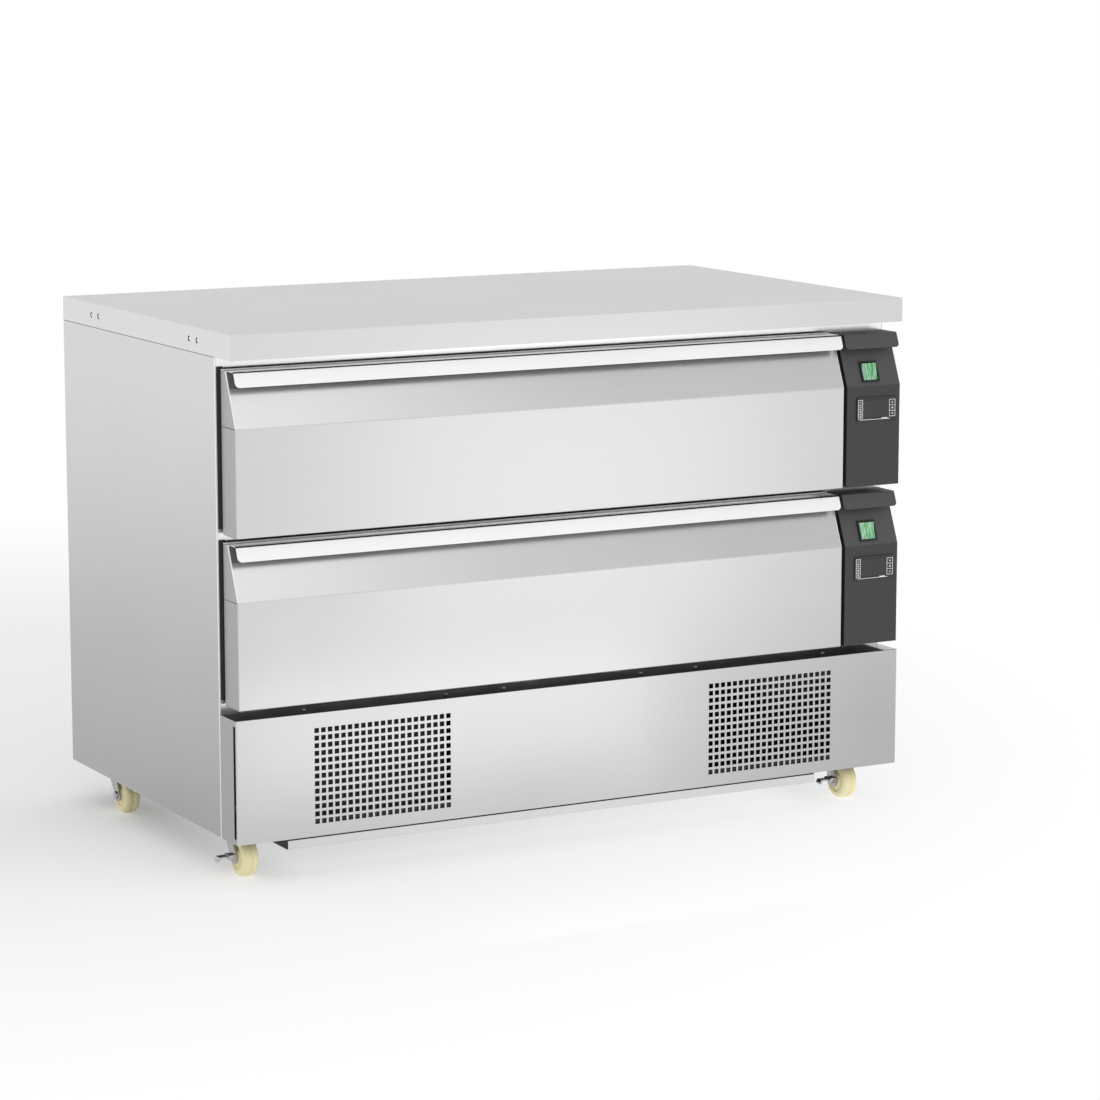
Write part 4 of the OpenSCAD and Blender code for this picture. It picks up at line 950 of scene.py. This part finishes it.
# %% Steel end of the cap
END_STRIP = 0.024
END_STRIP_THICK = 0.0004
END_STRIP_EDGE = 0.00015


def make_end_strip():
    """Thin steel flange that lies on the cap's right end."""
    low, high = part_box("plinth_cap")
    foot = (high.x - END_STRIP, low.y, high.z)
    bm = slab(bmesh.new(), foot, (high.x, high.y, high.z + END_STRIP_THICK))
    name = "plinth_end_flange"
    return make_piece(name, bm, front_steel, "cabinet", edge=END_STRIP_EDGE)


end_strip = make_end_strip()
print("made", end_strip.name)

# %% [markdown]
# ## Gaskets, seams and tray
# A dark gasket closes the gap at each drawer's left end, where the frame would show. A bright angle up
# the left side panel's front edge is a painted highlight of its fold, and a dark strip under the worktop
# is a painted shadow of the seam. Black plates on the tray's ends are painted shade, and black strips
# behind the grilles and slots and along the tray are painted shade that closes the gaps that would show
# light.

# %% Frame gasket
GASKET_X = (0.0018, 0.0130)
GASKET_THICK = 0.0006
GASKET_FOOT = 0.008
GASKET_REACH = 0.005


def make_gasket():
    """Flat gaskets up the frame's left edge, one beside each drawer."""
    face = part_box("front_frame")[0].y
    near, far = (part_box("left_side_panel")[0].x + x for x in GASKET_X)
    bm = bmesh.new()
    for level in LEVELS:
        low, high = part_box(f"{level}_drawer_front")
        slab(bm, (near, face - GASKET_THICK, low.z + GASKET_FOOT), (far, face, high.z + GASKET_REACH))
    return make_piece("frame_gasket", bm, gasket_rubber, "cabinet", edge=TRIM_EDGE)


gasket = make_gasket()
print("made", gasket.name)

# %% Side seams
UPRIGHT = Matrix(((0, 1, 0, 0), (0, 0, 1, 0), (1, 0, 0, 0), (0, 0, 0, 1)))
FOLD_FRONT = 0.0018
FOLD_SIDE = 0.0028
TRIM_THICK = 0.00015
SEAM_SHADOW_HEIGHT = 0.0008
SEAM_SHADOW_EDGE = TRIM_THICK / 3


def make_fold_highlight():
    """Bright angle up the front edge of the left side panel: a painted highlight of its fold."""
    low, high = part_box("left_side_panel")
    x, y = low.x, low.y
    skin, front = x - TRIM_THICK, y - TRIM_THICK
    outline = [(skin, front), (x + FOLD_FRONT, front), (x + FOLD_FRONT, y)]
    outline += [(x, y), (x, y + FOLD_SIDE), (skin, y + FOLD_SIDE)]
    bm = prism(outline, low.z, high.z)
    bmesh.ops.transform(bm, matrix=UPRIGHT, verts=bm.verts[:])
    return make_piece("left_panel_fold_highlight", bm, painted_highlight_steel, "cabinet")


def make_seam_shadow():
    """Dark strip where the left side panel meets the worktop: a painted shadow of the seam."""
    low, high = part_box("left_side_panel")
    seam_shadow_low = (low.x - TRIM_THICK, low.y, high.z - SEAM_SHADOW_HEIGHT / 2)
    bm = slab(bmesh.new(), seam_shadow_low, (low.x, high.y, high.z + SEAM_SHADOW_HEIGHT / 2))
    return make_piece("worktop_seam_shadow", bm, seal_rubber, "cabinet", edge=SEAM_SHADOW_EDGE)


fold_highlight = make_fold_highlight()
seam_shadow = make_seam_shadow()
print("side seams", fold_highlight.name, seam_shadow.name)

# %% Tray ends
TRAY_SHADE_THICK = 0.0012


def make_tray_end_shade():
    """Black plates on both ends of the undertray: painted shade."""
    low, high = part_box("undertray")
    bm = bmesh.new()
    for x0, x1 in ((low.x - TRAY_SHADE_THICK, low.x), (high.x, high.x + TRAY_SHADE_THICK)):
        slab(bm, (x0, low.y + TRAY_SHADE_THICK, low.z), (x1, high.y, high.z))
    return make_piece("undertray_end_shade", bm, cap_paint, "cabinet", edge=EDGE)


tray_end_shade = make_tray_end_shade()
print("made", tray_end_shade.name)

# %% Plinth shade strips
SHADE_STRIP_THICK = 0.0010
SHADE_STRIP_SETBACK = 0.0030
SHADE_STRIP_END = 0.0050
TRAY_SHADOW_LINE = (0.0140, 0.0185)
SLOT_SHADE = (0.0022, 0.0032)
TRAY_SHADOW_LINE_THICK = 0.0006


def make_plinth_shade_strips():
    """Black strips that close the gap under the base plate and behind grilles and slots, and a line on the
    tray: all painted shade.
    """
    plinth_low, plinth_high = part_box("plinth_panel")
    plate_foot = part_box("base_plate")[0].z
    tray_low, tray_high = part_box("undertray")
    half = GRILLE_COLUMNS * GRILLE_PITCH[0] / 2 + SHADE_STRIP_END
    y = plinth_low.y + SHADE_STRIP_SETBACK
    bm = bmesh.new()
    for x in (-GRILLE_X, GRILLE_X):
        slab(bm, (x - half, y, plinth_low.z), (x + half, y + SHADE_STRIP_THICK, plate_foot))
    left = [plinth_low.x + inset for inset in SLOT_SHADE]
    right = [plinth_high.x - inset for inset in reversed(SLOT_SHADE)]
    for x0, x1 in (left, right):
        slab(bm, (x0, y, plinth_low.z), (x1, y + SLOT_WIDTH + SHADE_STRIP_END, plate_foot))
    foot, head = (tray_low.z + rise for rise in TRAY_SHADOW_LINE)
    slab(bm, (tray_low.x, tray_low.y - TRAY_SHADOW_LINE_THICK, foot), (tray_high.x, tray_low.y, head))
    return make_piece("plinth_shade_strips", bm, cap_paint, "cabinet", edge=TRIM_EDGE)


plinth_shade_strips = make_plinth_shade_strips()
print("made", plinth_shade_strips.name)

# %% [markdown]
# ## Controls
# Each control panel has a thermostat and a rocker switch. The thermostat's front has a dark window, a
# column of small signs at the left and three keys at the right, all with thin pale outlines. The print
# is made as very thin solids, so that it is part of the model and not only of a texture.

# %% Print helpers
KEY_FROM_MIDDLE = 0.0318
KEY_PROUD = 0.0004
PRINT = 0.00006
LINE = 0.0008


def thermostat_middle(level):
    """Middle of a thermostat's face: the middle key's height, and its distance to the left."""
    low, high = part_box(f"{level}_key_2")
    middle = (low + high) / 2
    return Vector((middle.x - KEY_FROM_MIDDLE, low.y + KEY_PROUD, middle.z))


def print_bar(bm, middle, x, z, length, width, turn=0.0):
    """Adds a printed bar on the thermostat's face, turned about its own middle."""
    place = Matrix.Translation(middle + Vector((x, -PRINT / 2, z))) @ Matrix.Rotation(turn, 4, "Y")
    bmesh.ops.create_cube(bm, size=1.0, matrix=place @ Matrix.Diagonal((length, PRINT, width, 1.0)))


def print_ladder(bm, middle, x, half_width, heights):
    """Adds a ladder of printed outlines: two uprights and a level bar at each height."""
    foot, head = heights[0], heights[-1]
    for side in (-1, 1):
        print_bar(bm, middle, x + side * half_width, (foot + head) / 2, LINE, head - foot + LINE)
    for z in heights:
        print_bar(bm, middle, x, z, 2 * half_width - LINE, LINE)


print("print helpers ready")

# %% Thermostat print
SIGNS = 4
SIGN_X = -0.0318
SIGN_PITCH = 0.0078
SIGN_HALF = 0.0042
SIGN_ARM = 0.0040
SIGN_STROKE = 0.0011
KEY_PITCH = 0.0094
KEY_FRAME = 0.0057
LONG_LINE = (-0.003, -0.0178, 0.060)
DASH = (0.0165, -0.0165, 0.0115)
DASH_WIDTH = 0.0016


def ladder(count, pitch):
    """Heights of the bars between which a number of fields stand, round zero."""
    return [(k - count / 2) * pitch for k in range(count + 1)]


def make_print(level):
    """Pale print on one thermostat: four signs in a column, key outlines and two lines."""
    middle = thermostat_middle(level)
    bm = bmesh.new()
    print_ladder(bm, middle, SIGN_X, SIGN_HALF, ladder(SIGNS, SIGN_PITCH))
    for k in range(SIGNS):
        z = ((SIGNS - 1) / 2 - k) * SIGN_PITCH
        for arm in range(k + 1):
            print_bar(bm, middle, SIGN_X, z, SIGN_ARM, SIGN_STROKE, pi * arm / (k + 1))
    print_ladder(bm, middle, KEY_FROM_MIDDLE, KEY_FRAME, ladder(len(KEYS), KEY_PITCH))
    print_bar(bm, middle, *LONG_LINE, LINE)
    print_bar(bm, middle, *DASH, DASH_WIDTH)
    return make_piece(f"{level}_thermostat_print", bm, print_white, "cabinet")


prints = [make_print(level) for level in LEVELS]
print("print", [len(p.data.polygons) for p in prints], "faces")

# %% Thermostat windows
WINDOW_HALF = (0.0243, 0.0148)
RECESS = 0.0006
PANE = 0.0004
PANE_RIM = 0.0012


def make_window(level):
    """Dark window in the thermostat's recess, with a raised rim."""
    middle = thermostat_middle(level)
    half = Vector((WINDOW_HALF[0], 0, WINDOW_HALF[1]))
    back = middle + Vector((0, RECESS, 0))
    bm = slab(bmesh.new(), back - half - Vector((0, PANE, 0)), back + half)
    face = min(bm.faces, key=lambda f: f.calc_center_median().y)
    bmesh.ops.inset_region(bm, faces=[face], thickness=PANE_RIM, depth=-PANE / 3)
    name = f"{level}_thermostat_window"
    return make_piece(name, bm, display_glass, "cabinet", edge=HAIR_EDGE)


windows = [make_window(level) for level in LEVELS]
print("windows", [p.name for p in windows])

# %% Keys
SIGN_PROUD = 0.0001
KEY_ROUND = 0.0005
KEY_SEGMENTS = 2
KEY_SIGN = 0.0019
KEY_SIGNS = {1: (3, 90), 2: (4, 45), 3: (3, 270)}


def make_key(level, k):
    """Key with softened corners, a little behind its CAD face so that its sign has room."""
    low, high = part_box(f"{level}_key_{k}")
    bm = slab(bmesh.new(), low + Vector((0, SIGN_PROUD, 0)), high)
    round_edges(bm, bm.edges[:], KEY_ROUND, KEY_SEGMENTS)
    name = f"{level}_key_{k}"
    return make_piece(f"{level}_key_cap_{k}", bm, key_grey, name, name)


def make_key_sign(level, k):
    """Printed sign on a key: a triangle up, a square, or a triangle down."""
    low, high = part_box(f"{level}_key_{k}")
    middle = (low + high) / 2
    sides, start = KEY_SIGNS[k]
    bm = bmesh.new()
    bmesh.ops.create_cone(
        bm, cap_ends=True, segments=sides, radius1=KEY_SIGN, radius2=KEY_SIGN, depth=2 * SIGN_PROUD
    )
    first = max(bm.verts, key=lambda v: v.co.y)
    turn = radians(start) - atan2(first.co.y, first.co.x)
    upright = Matrix.Rotation(pi / 2, 4, "X") @ Matrix.Rotation(turn, 4, "Z")
    place = Matrix.Translation((middle.x, low.y + SIGN_PROUD, middle.z)) @ upright
    bmesh.ops.transform(bm, matrix=place, verts=bm.verts[:])
    return make_piece(f"{level}_key_sign_{k}", bm, print_white, f"{level}_key_{k}")


keys = [make_key(level, k) for level in LEVELS for k in KEYS]
key_signs = [make_key_sign(level, k) for level in LEVELS for k in KEYS]
print("keys", len(keys), "signs", len(key_signs))

# %% [markdown]
# ### Rockers
# The rocker is a saddle of clear plastic that tips on two pins. Its section is a block with a hollow
# top, drawn as a curve, and its edges are well rounded so that they catch light as glassy plastic does.

# %% Rockers
ROCKER_HALF = (0.014, 0.0144)
ROCKER_CREST = 0.0060
ROCKER_HORN = 0.0011
ROCKER_FOOT = 0.006
ROCKER_TILT = radians(8)
SADDLE_STEPS = 12
ROCKER_ROUND = 0.0007
RIM_ANGLE = radians(30)


def make_rocker(level):
    """Saddle-shaped rocker, tilted about its pivot as at rest."""
    pivot = Vector(joints[f"{level}_switch_tip"]["pos_m"])
    half_x, half_y = ROCKER_HALF
    outline = [(-half_y, 0.0), (-half_y / 2, -ROCKER_FOOT), (half_y / 2, -ROCKER_FOOT), (half_y, 0.0)]
    for k in range(SADDLE_STEPS + 1):
        share = 1 - 2 * k / SADDLE_STEPS
        outline.append((half_y * share, ROCKER_CREST + ROCKER_HORN * share**2))
    bm = prism(outline, -half_x, half_x)
    rim = [e for e in bm.edges if e.calc_face_angle(0.0) > RIM_ANGLE]
    round_edges(bm, rim, ROCKER_ROUND, BEND_SEGMENTS)
    turn = Matrix.Rotation(pi / 2 - slope_angle + ROCKER_TILT, 4, "X")
    bmesh.ops.transform(bm, matrix=Matrix.Translation(pivot) @ turn, verts=bm.verts[:])
    return make_piece(
        f"{level}_rocker_cap", bm, rocker_green, f"{level}_switch", f"{level}_rocker"
    )


rockers = [make_rocker(level) for level in LEVELS]
print("rockers", [p.name for p in rockers])

# %% [markdown]
# ## Worktop plugs
# Pairs of small plugs close the holes in the worktop's ends. Each is a low dome of bright steel, a
# painted highlight, in a black ring, a painted shadow, which is why it shows a light and a dark crescent.

# %% Worktop plugs
PLUG_RADIUS = 0.0045
PLUG_RING = 0.0013
PLUG_DOME = 0.0012
PLUG_BACK = 0.0014
PLUG_PITCH = 0.031
DOME_STEPS = 5
PLUG_SEGMENTS = 32


def make_plugs():
    """Domed plugs in dark rings, two pairs in each end of the worktop: bright domes as painted highlight,
    black rings as painted shadow.
    """
    low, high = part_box("worktop_plugs")
    z = (low.z + high.z) / 2
    rim = PLUG_RADIUS - PLUG_RING
    profile = [(-PLUG_BACK, 0.0), (-PLUG_BACK, PLUG_RADIUS), (0.0, PLUG_RADIUS), (-PLUG_DOME, rim)]
    shares = [k / DOME_STEPS for k in range(DOME_STEPS - 1, -1, -1)]
    profile += [(-PLUG_DOME * share**2, rim * share) for share in shares]
    first, last = low.y + PLUG_RADIUS, high.y - PLUG_RADIUS
    rows = (first, first + PLUG_PITCH, last - PLUG_PITCH, last)
    bm = bmesh.new()
    for side, x in ((-1, low.x), (1, high.x)):
        for y in rows:
            lathe(profile, PLUG_SEGMENTS, bm, facing((side, 0, 0), (x, y, z)))
    piece = make_piece("worktop_end_plugs", bm, painted_highlight_steel, "cabinet", "worktop_plugs")
    piece.data.materials.append(seal_rubber)
    # Faces outside the dome take black as painted shadow round the plug.
    for polygon in piece.data.polygons:
        from_axis = min((polygon.center.yz - Vector((y, z))).length for y in rows)
        if from_axis > rim:
            polygon.material_index = 1
    return piece


plugs = make_plugs()
print("plugs", len(plugs.data.polygons), "faces")

# %% [markdown]
# ## Castors
# The wheels are cream nylon with a groove round the tread, round shoulders and dished sides. A wheel is
# turned on its own axle, so its outline is drawn once as (distance along the axle, radius).

# %% Wheels
WHEEL_RADIUS = 0.0315
WHEEL_HALF = 0.014
BORE_RADIUS = 0.0042
HUB_RADIUS = 0.0104
SHOULDER = 0.0085
GROOVE = 0.0024
DISH = 0.0035
TREAD_DROP = 0.0004
HUB_ROUND = 0.0006
HUB_STEP = 0.0016
RIM_SHARE = 0.60
SHOULDER_ARC = (-12, 80, 12)
GROOVE_SHAPE = ((1.8, 0.0), (1.0, 0.3), (0.6, 1.0))
WHEEL_SEGMENTS = 72


def wheel_profile():
    """Outline of one half of the wheel from its bore to the groove, and its mirror image."""
    half = [(WHEEL_HALF, BORE_RADIUS), (WHEEL_HALF, HUB_RADIUS - HUB_ROUND)]
    half += [(WHEEL_HALF - HUB_ROUND, HUB_RADIUS)]
    half += [(WHEEL_HALF - DISH, HUB_RADIUS + HUB_STEP), (WHEEL_HALF - DISH, WHEEL_RADIUS * RIM_SHARE)]
    half += arc((WHEEL_HALF - SHOULDER, WHEEL_RADIUS - SHOULDER - TREAD_DROP), SHOULDER, *SHOULDER_ARC)
    half += [(GROOVE * wide, WHEEL_RADIUS - GROOVE * deep) for wide, deep in GROOVE_SHAPE]
    return half + [(-x, r) for x, r in reversed(half)]


def axle_place(castor):
    """Matrix at the wheel's middle with X along the axle and Z up."""
    joint = joints[f"{castor}_roll"]
    along = Vector(joint["axis"]).normalized()
    across = Vector((0, 0, 1)).cross(along)
    turn = Matrix((along, across, (0, 0, 1))).transposed().to_4x4()
    return Matrix.Translation(joint["pos_m"]) @ turn


for castor in CASTORS:
    bm = lathe(wheel_profile(), WHEEL_SEGMENTS, place=axle_place(castor))
    make_piece(f"{castor}_tyre", bm, wheel_nylon, f"{castor}_wheel", f"{castor}_wheel")
print("wheels made")

# %% [markdown]
# ## Back
# The back is a plain sheet with two groups of vents. Each vent has a pressed hood above it that keeps
# dust out, and pan-head screws hold the sheet along its edges.

# %% Back screws
BACK_SCREW = 0.0042
BACK_SCREW_HEIGHT = 0.0022
BACK_SCREW_EDGE = 0.018
BACK_SCREW_COLUMNS = 6
BACK_SCREW_ROWS = 5


def spread(low, high, count):
    """Evenly spaced values from one end to the other."""
    return [low + (high - low) * k / (count - 1) for k in range(count)]


def make_back_screws():
    """Screw heads along the four edges of the back panel."""
    low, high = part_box("back_panel")
    xs = spread(low.x + BACK_SCREW_EDGE, high.x - BACK_SCREW_EDGE, BACK_SCREW_COLUMNS)
    zs = spread(low.z + BACK_SCREW_EDGE, high.z - BACK_SCREW_EDGE, BACK_SCREW_ROWS)
    places = [(x, z) for x in xs for z in (zs[0], zs[-1])]
    places += [(x, z) for x in (xs[0], xs[-1]) for z in zs[1:-1]]
    bm = bmesh.new()
    for x, z in places:
        pan_head(bm, facing((0, 1, 0), (x, high.y, z)), BACK_SCREW, BACK_SCREW_HEIGHT)
    return make_piece("back_screw_heads", bm, bright_zinc, "cabinet")


back_screws = make_back_screws()
print("made", back_screws.name)

# %% Vent hoods
VENT_PITCH = 0.016
VENT_ROWS = 8
VENT_WIDTH = 0.220
VENT_HEIGHT = 0.006
HOOD_DEPTH = 0.0028
HOOD_SHEET = 0.0007
HOOD_ARC = (90, -50)
HOOD_STEPS = 7


def make_hoods():
    """Pressed hoods over the upper half of every vent, closed at the top and at both ends."""
    vents_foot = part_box("base_plate")[1].z
    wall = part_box("back_panel")[1].y
    bm = bmesh.new()
    for x in (-GRILLE_X, GRILLE_X):
        x0, x1 = x - VENT_WIDTH / 2, x + VENT_WIDTH / 2
        for k in range(VENT_ROWS):
            centre = (wall, vents_foot + VENT_PITCH * (k + 0.5) + VENT_HEIGHT)
            outer = arc(centre, HOOD_DEPTH, *HOOD_ARC, HOOD_STEPS)
            inner = arc(centre, HOOD_DEPTH - HOOD_SHEET, *reversed(HOOD_ARC), HOOD_STEPS)
            prism(outer + inner, x0, x1, bm)
            for end in (x0 - HOOD_SHEET, x1):
                prism([centre] + outer, end, end + HOOD_SHEET, bm)
    return make_piece("vent_hoods", bm, back_steel, "cabinet")


hoods = make_hoods()
print("made", hoods.name)

# %% [markdown]
# ## Floor and light
# The counter stands on a plain white floor. Near the counter the floor is matt, so it takes the
# shadow. Further out its own white takes over, so the picture's background is plain white. Soft boxes
# in front of the counter give the steel its broad gradients.

# %% Floor
WHITE = (1.0, 1.0, 1.0, 1.0)
FLOOR_RADIUS = 60.0
FLOOR_SEGMENTS = 96
FLOOR_GREY = 0.86
FLOOR_LIFT = 0.20
SHADOW_REACH = (1.0, 2.5)
SHADOW_MIDDLE = (-0.9, 1.2, 0.0)


def make_floor():
    """White disc that takes the shadow near the counter."""
    bm = bmesh.new()
    bmesh.ops.create_circle(bm, cap_ends=True, segments=FLOOR_SEGMENTS, radius=FLOOR_RADIUS)
    mesh = bpy.data.meshes.new("floor")
    bm.to_mesh(mesh)
    bm.free()
    floor = bpy.data.objects.new("floor", mesh)
    bpy.context.scene.collection.objects.link(floor)
    material, tree, shader, place = new_material(
        "floor_white", Roughness=0.9, Specular_IOR_Level=0.0,
        Base_Color=(*grey(FLOOR_GREY), 1.0), Emission_Color=WHITE
    )
    rays = add_node(tree, "ShaderNodeLightPath")
    seen = [rays.outputs[f"Is {kind} Ray"] for kind in ("Camera", "Glossy", "Transmission")]
    lift = map_range(tree, summed(tree, *seen), 0.0, 1.0, 0.0, FLOOR_LIFT)
    feed(tree, shader.inputs["Emission Strength"], lift)
    glow = add_node(tree, "ShaderNodeEmission", Color=WHITE, Strength=1.0)
    distance = add_node(tree, "ShaderNodeVectorMath", operation="DISTANCE")
    for socket, value in zip(distance.inputs, (place, SHADOW_MIDDLE)):
        feed(tree, socket, value)
    reach = map_range(tree, distance.outputs["Value"], *SHADOW_REACH, 0.0, 1.0)
    blend = add_node(tree, "ShaderNodeMixShader")
    for socket, value in zip(blend.inputs, (reach, shader.outputs["BSDF"], glow.outputs["Emission"])):
        feed(tree, socket, value)
    feed(tree, tree.nodes["Material Output"].inputs["Surface"], blend.outputs["Shader"])
    mesh.materials.append(material)
    return floor


floor = make_floor()
print("made", floor.name)

# %% Lamps


def soft_box(name, place, target, size, power):
    """Rectangular area lamp that faces a target."""
    data = bpy.data.lights.new(name, "AREA")
    data.shape = "RECTANGLE"
    data.size, data.size_y = size
    data.energy = power
    lamp = bpy.data.objects.new(name, data)
    lamp.location = place
    lamp.rotation_euler = (Vector(target) - Vector(place)).to_track_quat("-Z", "Y").to_euler()
    bpy.context.scene.collection.objects.link(lamp)
    return lamp


LAMPS = (
    ("front_box", (0.68, -1.65, 0.37), (0.68, 0.0, 0.37), (0.92, 0.68), 0.86),
    ("foot_box", (0.0, -0.85, 0.11), (0.0, 0.0, 0.11), (0.84, 0.18), 0.20),
    ("key_box", (0.6, -3.4, 2.75), (0.0, 0.0, 0.45), (1.6, 1.2), 5.5),
)
lamps = [soft_box(*values) for values in LAMPS]
print("lamps", [lamp.name for lamp in lamps])

# %% World
ROOM_STOPS = ((0.05, WHITE), (0.8, (0.70, 0.70, 0.70, 1.0)))


def make_world():
    """Pale room: white at the horizon, dimmer overhead."""
    world = bpy.data.worlds.new("room")
    bpy.context.scene.world = world
    world.use_nodes = True
    tree = world.node_tree
    direction = add_node(tree, "ShaderNodeTexCoord").outputs["Generated"]
    ramp = add_node(tree, "ShaderNodeValToRGB", Fac=part(tree, direction, "Z"))
    set_ramp(ramp, *ROOM_STOPS)
    feed(tree, tree.nodes["Background"].inputs["Color"], ramp.outputs["Color"])


make_world()
bpy.context.scene.view_settings.view_transform = "Standard"
print("world", bpy.context.scene.world.name)
